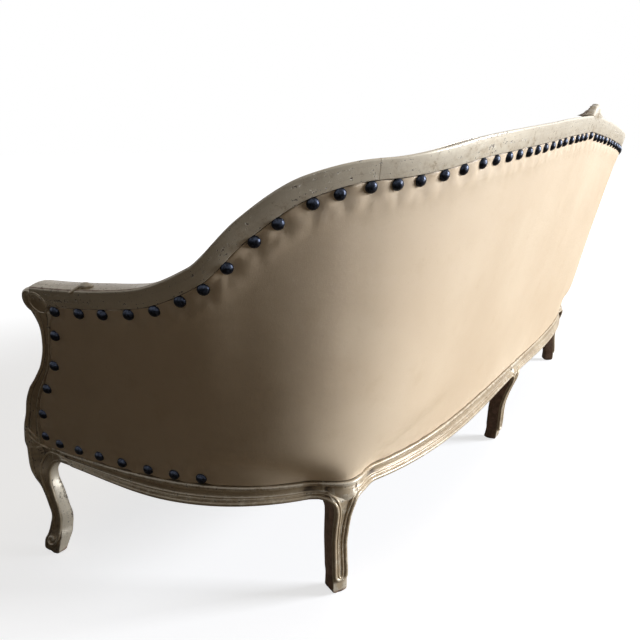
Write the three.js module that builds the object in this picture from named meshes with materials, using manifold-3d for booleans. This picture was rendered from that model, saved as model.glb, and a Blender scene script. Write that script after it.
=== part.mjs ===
// A cabriole sofa on three front and three rear legs: a gilt show-wood frame with a curved, raked back that
// sweeps down into scrolled arms, covered in leather that is held by large domed nails.
// Millimetres, +Z up. The sofa faces -Y, and its middle plane is X = 0.
import * as THREE from 'three';
import { mergeVertices } from 'three/addons/utils/BufferGeometryUtils.js';
import Module from 'manifold-3d';

const wasm = await Module();
wasm.setup();

// Plan of the upholstered wall, on its outer face: half of a rounded rectangle, wider at the top
const seatHalfWidth = 1082; // middle plane to the outside of an arm, at the seat rail
const seatRearDepth = 840; // front line to the outside of the rear seat rail
const frontLine = 145; // outer face of the front rail beside the corner legs, from the front line
const armFlare = 89; // how far the arms lean outwards on their way up to the nail line
const backRake = 154; // how far the back leans rearwards on the same way
const armAdvance = 69; // how far the plan's front line comes forward on the same way
const planSquareness = 4.35; // power of the plan curve: 2 would be an ellipse
const noseReach = 31; // how far the wall's foot comes out over each rear corner leg

// Heights of the long lines
const railFootHeight = 215; // underside of the seat rail beside a leg
const mouldHeight = 35; // moulded face of the seat rail
const stuffedHeight = 50; // plain face of the seat rail, behind the leather
const leatherFootHeight = railFootHeight + mouldHeight; // ledge that the outside leather stands on
const railTopHeight = leatherFootHeight + stuffedHeight; // top of the seat rail, under the stuffing
const armLineHeight = 581; // nail line along the arm
const crestLineHeight = 891; // nail line at the middle of the back
// [share of the way round from the arm's front to the middle of the back, share of the rise]
const sweepShares = [
  [0.17, 0], [0.23, 0.012], [0.28, 0.03], [0.33, 0.068], [0.385, 0.21], [0.428, 0.46],
  [0.471, 0.635], [0.514, 0.718], [0.581, 0.777], [0.7, 0.865], [0.85, 0.948], [1, 1],
];

// Clearances between pieces that touch, and how far a cutting shape overruns what it cuts
const seatGap = 0.3;
const skinGap = 0.5; // leather to the wood behind it
const overrun = 60;
const coverLead = 12; // how far before the front rail's face the outside leather starts

// Covers and stuffing
const leatherThickness = 3; // leather with its lining
const nailDrop = 10; // leather's top edge to the nail line below it
const tongueDrop = 30; // how far the top rail's tongue reaches below the nail line
const hessianThickness = 1.6;
const webThickness = 2.4;

// Frame timbers
const uprightThickness = 28;
const uprightWidth = 52;
const seatRailThickness = 48;
const crestRailThickness = 47;
const armRailWidth = 55;

// Centre of the arm's scroll, in side view
const scrollY = 286;
const scrollLift = 23; // above the nail line along the arm
const scrollHeight = armLineHeight + scrollLift;

// Round the wall: where the pieces stand
const degree = Math.PI / 180;
const railJoint = 46.8 * degree; // butt joint between the arm rail and the crest rail
const cornerLegAngle = 47.4 * degree;
const noseAngle = 48 * degree;
const noseHalfAngle = 3.8 * degree;
const noseTopShare = 0.9; // where the nose has run out, on the way up to the nail line
const quarterTurn = Math.PI / 2;
const angleStep = 0.2 * degree;

const gilt = new THREE.MeshStandardMaterial({ color: 0xcdb98a, roughness: 0.42, metalness: 0.75 });
const leather = new THREE.MeshStandardMaterial({ color: 0xc2a67d, roughness: 0.45, metalness: 0 });
const beech = new THREE.MeshStandardMaterial({ color: 0xb08a5c, roughness: 0.75, metalness: 0 });
const jute = new THREE.MeshStandardMaterial({ color: 0xa48a5e, roughness: 0.95, metalness: 0 });
const lining = new THREE.MeshStandardMaterial({ color: 0x1d1c1b, roughness: 0.95, metalness: 0 });

const sofa = new THREE.Group();

function add(name, geometry, material) {
  geometry.computeVertexNormals();
  const mesh = new THREE.Mesh(geometry, material);
  mesh.name = name;
  sofa.add(mesh);
}

// The same piece on the other side of the middle plane
function mirrored(geometry) {
  const copy = geometry.clone();
  copy.scale(-1, 1, 1);
  const corners = copy.index.array;
  for (let i = 0; i < corners.length; i += 3) {
    [corners[i], corners[i + 1]] = [corners[i + 1], corners[i]];
  }
  return copy;
}

function addPair(name, geometry, material) {
  add(`${name}_left`, geometry, material);
  add(`${name}_right`, mirrored(geometry), material);
}

// Reads a table of [where, value] rows along a smooth curve that never overshoots its rows
function smoothAt(table, where, column = 1) {
  const last = table.length - 1;
  if (where <= table[0][0]) return table[0][column];
  if (where >= table[last][0]) return table[last][column];
  let row = 0;
  while (where > table[row + 1][0]) row += 1;
  const slopeOf = (k) => (table[k + 1][column] - table[k][column]) / (table[k + 1][0] - table[k][0]);
  const tangentAt = (k) => {
    if (k === 0) return slopeOf(0);
    if (k === last) return slopeOf(last - 1);
    const before = slopeOf(k - 1);
    const after = slopeOf(k);
    return before * after <= 0 ? 0 : (2 * before * after) / (before + after);
  };
  const span = table[row + 1][0] - table[row][0];
  const t = (where - table[row][0]) / span;
  const start = table[row][column];
  const rise = table[row + 1][column] - start;
  const tIn = tangentAt(row) * span;
  const tOut = tangentAt(row + 1) * span;
  return start + tIn * t + (3 * rise - 2 * tIn - tOut) * t * t + (tIn + tOut - 2 * rise) * t * t * t;
}

// Closed solid through a list of rings with as many points each, capped at both ends. From ring `turn` on,
// the facets are split the other way, so that both halves of a piece across the middle plane are alike.
function loft(rings, turn = rings.length) {
  const size = rings[0].length;
  const positions = rings.flat().flatMap((p) => [p.x, p.y, p.z]);
  const triangles = [];
  for (let k = 0; k < rings.length - 1; k += 1) {
    for (let i = 0; i < size; i += 1) {
      const a = k * size + i;
      const b = k * size + ((i + 1) % size);
      if (k < turn) triangles.push(a, b, b + size, a, b + size, a + size);
      else triangles.push(a, b, a + size, b, b + size, a + size);
    }
  }
  addCap(rings[0], 0, true, triangles);
  addCap(rings[rings.length - 1], (rings.length - 1) * size, false, triangles);
  const geometry = new THREE.BufferGeometry();
  geometry.setAttribute('position', new THREE.Float32BufferAttribute(positions, 3));
  geometry.setIndex(triangles);
  return facingOut(geometry);
}

const symmetricLoft = (rings) => loft(rings, (rings.length - 1) / 2);

function addCap(ring, first, reversed, triangles) {
  const normal = new THREE.Vector3();
  ring.forEach((p, i) => normal.add(new THREE.Vector3().crossVectors(p, ring[(i + 1) % ring.length])));
  normal.normalize();
  const across = new THREE.Vector3().subVectors(ring[1], ring[0]);
  across.addScaledVector(normal, -across.dot(normal)).normalize();
  const along = new THREE.Vector3().crossVectors(normal, across);
  const flat = ring.map((p) => new THREE.Vector2(p.dot(across), p.dot(along)));
  const turn = ([a, b, c]) => (b.x - a.x) * (c.y - a.y) - (b.y - a.y) * (c.x - a.x);
  for (const [a, b, c] of THREE.ShapeUtils.triangulateShape(flat, [])) {
    const forward = turn([flat[a], flat[b], flat[c]]) > 0;
    if (forward === reversed) triangles.push(first + a, first + c, first + b);
    else triangles.push(first + a, first + b, first + c);
  }
}

function facingOut(geometry) {
  const p = geometry.attributes.position;
  const corners = geometry.index.array;
  let volume = 0;
  const [a, b, c] = [new THREE.Vector3(), new THREE.Vector3(), new THREE.Vector3()];
  for (let i = 0; i < corners.length; i += 3) {
    a.fromBufferAttribute(p, corners[i]);
    b.fromBufferAttribute(p, corners[i + 1]);
    c.fromBufferAttribute(p, corners[i + 2]);
    volume += a.dot(b.cross(c));
  }
  if (volume < 0) {
    for (let i = 0; i < corners.length; i += 3) {
      [corners[i], corners[i + 1]] = [corners[i + 1], corners[i]];
    }
  }
  return geometry;
}

function toSolid(geometry) {
  const bare = geometry.clone();
  bare.deleteAttribute('normal');
  bare.deleteAttribute('uv');
  const merged = mergeVertices(bare);
  const vertProperties = Float32Array.from(merged.attributes.position.array);
  const triVerts = Uint32Array.from(merged.index.array);
  return new wasm.Manifold(new wasm.Mesh({ numProp: 3, vertProperties, triVerts }));
}

function toGeometry(solid) {
  const mesh = solid.getMesh();
  const geometry = new THREE.BufferGeometry();
  geometry.setAttribute('position', new THREE.Float32BufferAttribute(mesh.vertProperties, 3));
  geometry.setIndex(Array.from(mesh.triVerts));
  return geometry;
}

const cut = (geometry, ...tools) =>
  toGeometry(tools.reduce((solid, tool) => solid.subtract(toSolid(tool)), toSolid(geometry)));
const join = (...pieces) => toGeometry(pieces.map(toSolid).reduce((solid, piece) => solid.add(piece)));
const common = (geometry, other) => toGeometry(toSolid(geometry).intersect(toSolid(other)));

// Upright prism on a plan outline of Vector2 points
function prism(outline, low, high) {
  const geometry = new THREE.ExtrudeGeometry(new THREE.Shape(outline), {
    depth: high - low,
    bevelEnabled: false,
  });
  return geometry.translate(0, 0, low);
}

// The wall. An angle says how far round it a place is: 0 at the front of the left arm, a quarter turn at
// the middle of the back, and on to the right arm.
function planPoint(angle, rise) {
  const c = Math.cos(angle);
  const s = Math.sin(angle);
  const power = planSquareness;
  const radius = (Math.abs(c) ** power + Math.abs(s) ** power) ** (-1 / power);
  const halfWidth = seatHalfWidth + armFlare * rise;
  const depth = seatRearDepth + (backRake + armAdvance) * rise;
  return new THREE.Vector2(halfWidth * radius * c, depth * radius * s - armAdvance * rise);
}

function planNormal(angle) {
  const c = Math.cos(angle);
  const s = Math.sin(angle);
  const across = (Math.sign(c) * Math.abs(c) ** (planSquareness - 1)) / seatHalfWidth;
  const back = (Math.sign(s) * Math.abs(s) ** (planSquareness - 1)) / seatRearDepth;
  return new THREE.Vector2(across, back).normalize();
}

// How far the wall stands out over a rear corner leg, all of it at the rail and none at the nail line
function noseOut(angle, rise) {
  const away = Math.abs(Math.min(angle, Math.PI - angle) - noseAngle) / noseHalfAngle;
  const fade = 1 - THREE.MathUtils.clamp(rise / noseTopShare, 0, 1);
  return (noseReach / 2) * fade * (1 + Math.cos(Math.PI * Math.min(away, 1)));
}

// Share of the way from the arm's front to the middle of the back, the same on both sides
const wayRound = (angle) => Math.min(angle, Math.PI - angle) / quarterTurn;
const nailHeight = (angle) => armLineHeight
  + (crestLineHeight - armLineHeight) * smoothAt(sweepShares, wayRound(angle));

// Point of the wall at a height, moved inwards on the level. The inside covers run straight past the noses.
function wallPoint(angle, height, inward = 0) {
  const rise = (height - leatherFootHeight) / (nailHeight(angle) - leatherFootHeight);
  const nose = inward < hessianInset ? noseOut(angle, rise) : 0;
  const p = planPoint(angle, rise).addScaledVector(planNormal(angle), nose - inward);
  return new THREE.Vector3(p.x, p.y, height);
}

// Place on the wall square to the nail line, by the lift above it
function besideNailLine(angle, lift) {
  const before = wallPoint(angle - angleStep, nailHeight(angle - angleStep));
  const after = wallPoint(angle + angleStep, nailHeight(angle + angleStep));
  const run = Math.hypot(after.x - before.x, after.y - before.y);
  const slope = Math.atan2(after.z - before.z, run);
  return {
    angle: angle - ((lift * Math.sin(slope)) / run) * 2 * angleStep,
    height: nailHeight(angle) + lift * Math.cos(slope),
  };
}

function liftedPoint(angle, lift, inward) {
  const place = besideNailLine(angle, lift);
  return wallPoint(place.angle, place.height, inward);
}

// Place on the wall between a level foot line and a line that follows the nails
function betweenLines(angle, footHeight, lift, share, inward) {
  const top = besideNailLine(angle, lift);
  return wallPoint(
    THREE.MathUtils.lerp(angle, top.angle, share),
    THREE.MathUtils.lerp(footHeight, top.height, share),
    inward,
  );
}

// The same place by its height, below the top rail's tongue
function underTongue(angle, height, inward) {
  const lineHeight = besideNailLine(angle, -tongueDrop).height;
  const share = (height - leatherFootHeight) / (lineHeight - leatherFootHeight);
  return betweenLines(angle, leatherFootHeight, -tongueDrop, share, inward);
}

// Angle round the left arm's wall at a place in side view
function armAngle(y, height) {
  let angle = 0;
  for (let pass = 0; pass < 4; pass += 1) {
    const rise = (height - leatherFootHeight) / (nailHeight(angle) - leatherFootHeight);
    const depth = seatRearDepth + (backRake + armAdvance) * rise;
    const back = Math.max(0, (y + armAdvance * rise) / depth);
    const across = (1 - back ** planSquareness) ** (1 / planSquareness);
    angle = Math.atan2(back, across);
  }
  return angle;
}

// Outside of the left arm's wall at that place, before any nose
function armFaceX(y, height) {
  const angle = armAngle(y, height);
  const rise = (height - leatherFootHeight) / (nailHeight(angle) - leatherFootHeight);
  return planPoint(angle, rise).x;
}

const spaced = (from, to, count) =>
  Array.from({ length: count + 1 }, (_, i) => THREE.MathUtils.lerp(from, to, i / count));
const otherSide = (angles) => angles.map((angle) => Math.PI - angle).reverse();

// Where the long pieces start, on the left: the arm rail in its scroll, and the leather before it is cut to
// the arm post
const armStart = armAngle(scrollY, scrollHeight);
const coverStart = armAngle(frontLine - coverLead, leatherFootHeight);

// Stations that all the long pieces share, so that their flats lie parallel
const armStations = spaced(armStart, railJoint, 13);
const leadStations = spaced(coverStart, armStart, 4).slice(0, -1);
const bendStations = [48, 49.6, 51.6, 54, 57, 60].map((angle) => angle * degree);
const backStations = spaced(60 * degree, quarterTurn, 5).slice(1);
const crestHalf = [railJoint, ...bendStations, ...backStations];
const crestStations = [...crestHalf, ...otherSide(crestHalf).slice(1)];
const nearHalf = [...leadStations, ...armStations, ...bendStations, ...backStations];
const allStations = [...nearHalf, ...otherSide(nearHalf).slice(1)];
const stationsBetween = (from, to) =>
  [from, ...allStations.filter((angle) => angle > from + angleStep && angle < to - angleStep), to];

// Seat rail: ledge bead, cove and foot bead, as [outward share of the reach, share of the way down]
const mouldReach = 9; // how far the foot bead stands out from the leather's face
const mouldShares = [
  [0.05, 0], [0.5, 0.03], [0.66, 0.12], [0.45, 0.23], [0.16, 0.28], [0.12, 0.42], [0.34, 0.6],
  [0.42, 0.65], [0.84, 0.7], [1, 0.83], [0.84, 0.96], [0.45, 1],
];
const apronDepth = 9; // how far the side and rear rails hang lower between their legs
const frontApronDepth = 26;

// Ring of a seat rail from its outer face at a plan point: ledge, moulding, underside, inner face
function seatRailRing(at, outward, thickness, ledgeInset, mouldTop, drop) {
  const place = (out, height) =>
    new THREE.Vector3(at.x + outward.x * out, at.y + outward.y * out, height);
  const mouldFoot = railFootHeight - drop;
  const moulding = mouldShares.map(([out, down]) =>
    place(out * mouldReach, THREE.MathUtils.lerp(mouldTop, mouldFoot, down)));
  return [
    place(-ledgeInset, mouldTop),
    ...moulding,
    place(-thickness, mouldFoot),
    place(-thickness, railTopHeight),
  ];
}

// The rail's lower edge: level beside the legs, lowest in the middle of its span
const apronDrop = (share, depth) => depth * Math.sin(Math.PI * THREE.MathUtils.clamp(share, 0, 1)) ** 2;

function wallSeatRail(fromAngle, toAngle) {
  const inset = leatherThickness + 4 * skinGap;
  return loft(stationsBetween(fromAngle, toAngle).map((angle) => {
    const at = wallPoint(angle, leatherFootHeight);
    const thickness = seatRailThickness + noseOut(angle, 0);
    const share = (angle - fromAngle) / (toAngle - fromAngle);
    const drop = apronDrop(share, apronDepth);
    const ring = seatRailRing(at, planNormal(angle), thickness, inset, leatherFootHeight - seatGap, drop);
    return [...ring, underTongue(angle, railTopHeight, inset)];
  }));
}

// Legs. A leg stands at a point of the plan and swings out along its own direction.
const legBlockHalfWidth = 31; // half of the block that the rails are tenoned into
const legKneeHalfWidth = 27;
const legDepth = 54;
const legSwing = 20; // how far the knee stands out beyond the ankle
const middleLegLean = 26; // how much further in a middle leg's sole stands than a corner leg's
const legReach = 11; // how far the knee stands out from the leather's face
const filletShare = 0.35;
// [share of the height to the rail's top, swing share back from the knee, width share, depth share]
const legShares = [
  [0, 0.95, 0.54, 0.66], [0.03, 0.86, 0.6, 0.72], [0.12, 0.82, 0.6, 0.7], [0.19, 0.84, 0.62, 0.74],
  [0.29, 0.95, 0.6, 0.74], [0.37, 1, 0.605, 0.74], [0.47, 0.82, 0.635, 0.77], [0.59, 0.41, 0.66, 0.86],
  [0.65, 0.18, 0.72, 0.96], [0.69, 0.05, 0.86, 1.04], [0.72, 0, 1.02, 1.08], [0.775, 0.04, 1.14, 1.06],
];
const legKneeShare = 0.72; // height of the knee
const legTopShare = 0.65; // how far a corner leg's top stands back behind the leather, in noses
const legBeadShare = 0.22; // width of the bead down each edge of the moulded face
const legGrooveDepth = 3.2;
const ledgeBeadShare = 0.6; // reach of the bead over a leg, against the rail's foot bead

function legRing(at, outward, height, reach, halfWidth, depth, groove) {
  const across = new THREE.Vector2(-outward.y, outward.x);
  const place = (side, out) => new THREE.Vector3(
    at.x + across.x * side + outward.x * out,
    at.y + across.y * side + outward.y * out,
    height,
  );
  const bead = halfWidth * legBeadShare;
  const round = bead * filletShare;
  const flat = halfWidth - 2 * bead;
  return [
    place(-halfWidth, reach - bead),
    place(-halfWidth + round, reach - round),
    place(-halfWidth + bead, reach),
    place(-halfWidth + 2 * bead - round, reach - round),
    place(-flat, reach - groove),
    place(0, reach - groove * filletShare),
    place(flat, reach - groove),
    place(halfWidth - 2 * bead + round, reach - round),
    place(halfWidth - bead, reach),
    place(halfWidth - round, reach - round),
    place(halfWidth, reach - bead),
    place(halfWidth, reach - depth + bead),
    place(halfWidth - bead, reach - depth),
    place(-halfWidth + bead, reach - depth),
    place(-halfWidth, reach - depth + bead),
  ];
}

function railLeg(at, outward, lean, blockDepth, topInset) {
  const rings = legShares.map(([up, back, width, deep]) => {
    const reach = legReach - legSwing * back - lean * (1 - Math.min(up / legKneeShare, 1));
    const groove = legGrooveDepth * THREE.MathUtils.smoothstep(up, 0.1, 0.2);
    return legRing(at, outward, railTopHeight * up, reach, legKneeHalfWidth * width,
      legDepth * deep, groove);
  });
  const ledge = leatherFootHeight - seatGap;
  const beadReach = mouldReach * ledgeBeadShare;
  const inset = topInset + leatherThickness + skinGap;
  rings.push(legRing(at, outward, ledge - 4 * skinGap, beadReach, legBlockHalfWidth,
    blockDepth + beadReach, 0));
  rings.push(legRing(at, outward, ledge, 0, legBlockHalfWidth, blockDepth, 0));
  rings.push(legRing(at, outward, ledge, -inset, legKneeHalfWidth, blockDepth - inset, 0));
  rings.push(legRing(at, outward, railTopHeight, -inset, legKneeHalfWidth, blockDepth - inset, 0));
  return loft(rings);
}

// Top rail: the outer face is plain, the front is moulded, and a tongue below carries the covers
const armRailFace = 34; // height of the outer face along the arm
const crestRailFace = 43; // and at the middle of the back
const railProud = 2; // outer face beyond the leather
const railBevel = 4;
const railCrown = 2;
const faceShares = [[0.25, 0], [0.42, 0.32], [0.52, 0.1], [0.58, 0.42], [0.75, 0.82], [1, 1]];
// [inward share of the width, share of the face's height above the leather's edge]
const topRailShares = [
  [0.7, 1.02], [0.86, 0.98], [0.97, 0.9], [1, 0.76], [0.95, 0.62], [0.84, 0.52], [0.78, 0.3],
  [0.82, 0.08], [0.9, 0], [0.92, -0.12],
];
const lipInwardShare = 0.84;
const lipDrop = 10; // the rail's inner lip below the leather's outer edge
const tongueInner = leatherThickness + skinGap + uprightThickness;

const railFace = (angle) =>
  THREE.MathUtils.lerp(armRailFace, crestRailFace, smoothAt(faceShares, wayRound(angle)));

// Ring of the top rail, from the inside of its tongue over the top to the outside of its tongue
function topRailRing(angle, width) {
  const face = railFace(angle);
  const outer = leatherThickness + skinGap;
  const place = (lift, inward) => liftedPoint(angle, lift, inward);
  return [
    place(-tongueDrop, outer),
    place(nailDrop, outer),
    place(nailDrop, -railProud),
    place(nailDrop + face - railBevel, -railProud),
    place(nailDrop + face, railBevel - railProud),
    place(nailDrop + face + railCrown, width * filletShare),
    ...topRailShares.map(([inward, up]) => place(nailDrop + face * up, width * inward)),
    place(nailDrop - lipDrop, width * lipInwardShare),
    place(nailDrop - lipDrop, tongueInner),
    place(-tongueDrop, tongueInner),
  ].reverse();
}

function crestRail() {
  const from = railJoint + (seatGap / seatRearDepth) / 2;
  const angles = crestStations.map((angle) => THREE.MathUtils.clamp(angle, from, Math.PI - from));
  return symmetricLoft(angles.map((angle) => topRailRing(angle, crestRailThickness)));
}

// Arm post: an S between the seat rail and the arm's scroll
const postFootY = 84; // front of the curve that its foot is cut from
const postSetBack = 200; // how far back its head stands
const postTopDrop = 4; // below the nail line along the arm
const postTop = armLineHeight - postTopDrop;
const postThickness = 46;
const postTongue = 24; // what reaches rearwards behind the leather
const postFlare = 20; // how far its outer face runs out onto the leg's knee
const postFlareHeight = 80;
// [share of the height, front edge, rear edge], the edges as shares of the set-back
const postShares = [
  [0, 0.185, 0.32], [0.06, 0.14, 0.335], [0.14, 0.12, 0.37], [0.3, 0.23, 0.47], [0.44, 0.4, 0.625],
  [0.54, 0.58, 0.755], [0.655, 0.76, 0.9], [0.8, 0.9, 1.025], [0.91, 0.955, 1.11], [1, 0.92, 1.19],
];
// Its outer face, as [share of the way from the front edge to the rear edge, depth in bead depths]
const postBeadDepth = 3;
const postFaceShares = [
  [0, 2], [0.06, 0.6], [0.16, -0.4], [0.26, 0.4], [0.34, 1.1], [0.5, 0.8], [0.66, 1.1], [0.74, 0.4],
  [0.84, -0.4], [0.94, 0.4], [1, 0.6],
];

function postEdges(height) {
  const share = (height - leatherFootHeight) / (postTop - leatherFootHeight);
  return {
    front: postFootY + postSetBack * smoothAt(postShares, share, 1),
    rear: postFootY + postSetBack * smoothAt(postShares, share, 2),
  };
}

function armPost() {
  const heights = spaced(leatherFootHeight, postTop, 14);
  const outer = leatherThickness + skinGap;
  return loft(heights.map((height) => {
    const { front, rear } = postEdges(height);
    const faded = THREE.MathUtils.smoothstep(height - leatherFootHeight, 0, postFlareHeight);
    const flare = postFlare * (1 - faded);
    const place = (y, inward) => new THREE.Vector3(armFaceX(y, height) - inward, y, height);
    const face = postFaceShares.map(([along, deep]) =>
      place(THREE.MathUtils.lerp(front, rear, along), postBeadDepth * deep - flare * (1 - along)));
    return [
      ...face,
      place(rear, outer),
      place(rear + postTongue, outer),
      place(rear + postTongue, postThickness - postBeadDepth),
      place(rear, postThickness),
      place(front + postBeadDepth, postThickness),
      place(front, postThickness - 2 * postBeadDepth),
    ];
  }));
}

// Everything in front of a line that runs beside the post's rear edge, on the left of the sofa
function beforePost(clearance) {
  const heights = spaced(leatherFootHeight, postTop, 14);
  const edge = heights.map((height) => new THREE.Vector2(postEdges(height).rear + clearance, height));
  const low = edge[0].clone().setY(-overrun);
  const high = edge[edge.length - 1].clone().setY(crestLineHeight + overrun);
  const outline = [low, ...edge, high, high.clone().setX(-seatRearDepth), low.clone().setX(-seatRearDepth)];
  const reach = seatHalfWidth + armFlare + overrun;
  const geometry = new THREE.ExtrudeGeometry(new THREE.Shape(outline), { depth: reach, bevelEnabled: false });
  const sideView = new THREE.Matrix4().makeBasis(
    new THREE.Vector3(0, 1, 0),
    new THREE.Vector3(0, 0, 1),
    new THREE.Vector3(1, 0, 0),
  );
  return geometry.applyMatrix4(sideView);
}

// Arm rail with its rolled end
const scrollRadius = 29;
const scrollDish = 2;

function box(low, high) {
  const size = new THREE.Vector3().subVectors(high, low);
  const middle = new THREE.Vector3().addVectors(low, high).multiplyScalar(0.5);
  return new THREE.BoxGeometry(size.x, size.y, size.z).translate(middle.x, middle.y, middle.z);
}

function armScroll() {
  const outside = armFaceX(scrollY, scrollHeight) + railProud + scrollDish;
  const profile = [
    [0, 0], [0.82 * scrollRadius, 0], [scrollRadius, 3 * scrollDish],
    [scrollRadius, armRailWidth - 2 * scrollDish], [0.85 * scrollRadius, armRailWidth],
    [0.6 * scrollRadius, armRailWidth - scrollDish], [0, armRailWidth - scrollDish],
  ];
  const drum = new THREE.LatheGeometry(profile.map(([r, along]) => new THREE.Vector2(r, along)), 24);
  drum.rotateZ(-quarterTurn);
  return facingOut(mergeVertices(stripped(drum.translate(outside - armRailWidth, scrollY, scrollHeight))));
}

function stripped(geometry) {
  geometry.deleteAttribute('normal');
  geometry.deleteAttribute('uv');
  return geometry;
}

function armRail() {
  const last = railJoint - (seatGap / seatRearDepth) / 2;
  const angles = armStations.map((angle) => Math.min(angle, last));
  const rail = loft(angles.map((angle) => {
    const share = (angle - armStart) / (last - armStart);
    return topRailRing(angle, THREE.MathUtils.lerp(armRailWidth, crestRailThickness, share));
  }));
  const overPost = box(
    new THREE.Vector3(0, -overrun, 0),
    new THREE.Vector3(
      seatHalfWidth + armFlare + overrun,
      postEdges(postTop).rear + postTongue + seatGap,
      postTop + seatGap,
    ),
  );
  return cut(join(rail, armScroll()), overPost);
}

// Carved ornament on the middle of the crest rail, curled towards the front
const ornamentHeight = 23;
const ornamentHalfWidth = 66;
const ornamentDepth = 40;
const ornamentLobes = 3;
// [share of its height, share of its depth]
const ornamentShares = [
  [0, 0.06], [0.5, 0.08], [0.86, 0.16], [1, 0.4], [0.92, 0.72], [0.7, 0.95], [0.48, 0.86], [0.34, 0.9],
  [0.2, 1], [0, 0.9],
];

function crestOrnament() {
  const halfAngle = ornamentHalfWidth / (seatHalfWidth + armFlare);
  const seat = nailDrop + crestRailFace + railCrown + seatGap;
  return symmetricLoft(spaced(-1, 1, 24).map((side) => {
    const angle = quarterTurn - side * halfAngle;
    const lobes = 1 + 0.09 * Math.cos(2 * Math.PI * ornamentLobes * side);
    const height = ornamentHeight * (0.12 + 0.88 * (1 - Math.abs(side) ** 1.5)) * lobes;
    return ornamentShares.map(([up, deep]) =>
      liftedPoint(angle, seat + height * up, ornamentDepth * deep));
  }));
}

// Carved bud on top of each arm
const budLength = 42;
const budWidth = 24;
const budHeight = 13;
const budAngle = 24.5 * degree; // where it sits round the wall
const budShares = [[0, 0], [1, 0], [0.96, 0.3], [0.8, 0.68], [0.5, 0.93], [0, 1]];

function armBud() {
  const profile = budShares.map(([r, up]) => new THREE.Vector2(r, up));
  const dome = mergeVertices(stripped(new THREE.LatheGeometry(profile, 16)));
  const places = dome.attributes.position;
  for (let i = 0; i < places.count; i += 1) {
    const angle = budAngle + (places.getZ(i) * budLength) / 2 / speedAt(budAngle);
    const seat = nailDrop + railFace(angle) + railCrown + skinGap;
    const inward = armRailWidth * filletShare + (places.getX(i) * budWidth) / 2;
    places.setXYZ(i, ...liftedPoint(angle, seat + places.getY(i) * budHeight, inward));
  }
  return facingOut(dome);
}

// Front rail: bows forward in the middle, in plan and downwards
const frontBow = 34;
const frontKneeReach = 24; // how far a front corner leg's knee stands out beyond the rails' faces
const frontLegSize = seatRailThickness + frontKneeReach; // block under the arm post, across and deep
const frontY = (x) => frontLine - (frontBow / 2) * (1 + Math.cos((Math.PI * x) / frontLegX));
const frontLegX = seatHalfWidth - frontLegSize / 2;
const frontStations = spaced(-frontLegX, frontLegX, 20);

// Front corner leg: a square section that swings out towards the corner
const frontLegSwing = 23;
// [share of the height to the ledge, swing share back from the knee, size shares across and deep]
const frontLegShares = [
  [0, 0.42, 0.32, 0.57], [0.05, 0.36, 0.37, 0.67], [0.11, 0.42, 0.43, 0.71], [0.17, 0.66, 0.47, 0.6],
  [0.25, 0.86, 0.5, 0.47], [0.34, 1, 0.46, 0.44], [0.44, 0.88, 0.43, 0.46], [0.62, 0.55, 0.47, 0.59],
  [0.72, 0.2, 0.55, 0.72], [0.8, 0.03, 0.62, 0.82], [0.86, 0, 0.9, 0.95], [0.9, 0, 1, 1], [1, 0, 1, 1],
];

function frontCornerLeg() {
  const top = leatherFootHeight - seatGap;
  return loft(frontLegShares.map(([up, back, wide, deep]) => {
    const reach = frontKneeReach - frontLegSwing * back;
    const outerX = seatHalfWidth + reach;
    const outerY = frontLine - reach;
    const innerX = outerX - frontLegSize * wide;
    const innerY = outerY + frontLegSize * deep;
    const round = frontLegSize * wide * legBeadShare * filletShare * 2;
    const groove = legGrooveDepth * THREE.MathUtils.smoothstep(up, 0.12, 0.25) * (up < 0.9 ? 1 : 0);
    const middleY = (outerY + innerY) / 2;
    const middleX = (outerX + innerX) / 2;
    return [
      [outerX - groove, middleY], [outerX, innerY - 2 * round], [outerX - round / 2, innerY - round / 2],
      [outerX - 2 * round, innerY], [innerX + round, innerY], [innerX, innerY - round],
      [innerX, outerY + 2 * round], [innerX + round / 2, outerY + round / 2],
      [innerX + 2 * round, outerY], [middleX, outerY + groove], [outerX - 2 * round, outerY],
      [outerX - round / 2, outerY + round / 2], [outerX, outerY + 2 * round],
    ].map(([x, y]) => new THREE.Vector3(x, y, top * up));
  }));
}

// Clearance blocks round the legs' tops, which the rails are cut to
function legBlockSpace(at, outward, halfWidth, deep, gap) {
  const turn = Math.atan2(outward.y, outward.x) - quarterTurn;
  const width = 2 * (halfWidth + gap);
  const size = 2 * (deep + overrun);
  const block = new THREE.BoxGeometry(width, size, 2 * (railTopHeight + overrun));
  return block.rotateZ(turn).translate(at.x, at.y, 0);
}

const cornerLegOut = planNormal(cornerLegAngle);
const cornerLegAt = planPoint(cornerLegAngle, 0).addScaledVector(cornerLegOut, noseOut(cornerLegAngle, 0));
const middleLegAt = planPoint(quarterTurn, 0);
const middleLegOut = planNormal(quarterTurn);
const frontMiddleAt = new THREE.Vector2(0, frontY(0));
const towardsFront = new THREE.Vector2(0, -1);
const cornerLegSpace = legBlockSpace(cornerLegAt, cornerLegOut, legBlockHalfWidth, legDepth, seatGap);
const middleLegSpace = legBlockSpace(middleLegAt, middleLegOut, legBlockHalfWidth, legDepth, seatGap);
const frontMiddleSpace = legBlockSpace(frontMiddleAt, towardsFront, legBlockHalfWidth, legDepth, seatGap);
const frontCornerSpace = box(
  new THREE.Vector3(seatHalfWidth + frontKneeReach - frontLegSize - 3 * seatGap, -overrun, -overrun),
  new THREE.Vector3(
    seatHalfWidth + overrun,
    frontLine - frontKneeReach + frontLegSize + seatGap,
    railTopHeight + overrun,
  ),
);
const sideRailStart = armAngle(frontLine + seatRailThickness / 2, leatherFootHeight); // inside the front leg

function sideSeatRail() {
  return cut(wallSeatRail(sideRailStart, cornerLegAngle), cornerLegSpace, frontCornerSpace);
}

function backSeatRail() {
  return cut(wallSeatRail(cornerLegAngle, quarterTurn), cornerLegSpace, middleLegSpace);
}

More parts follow.
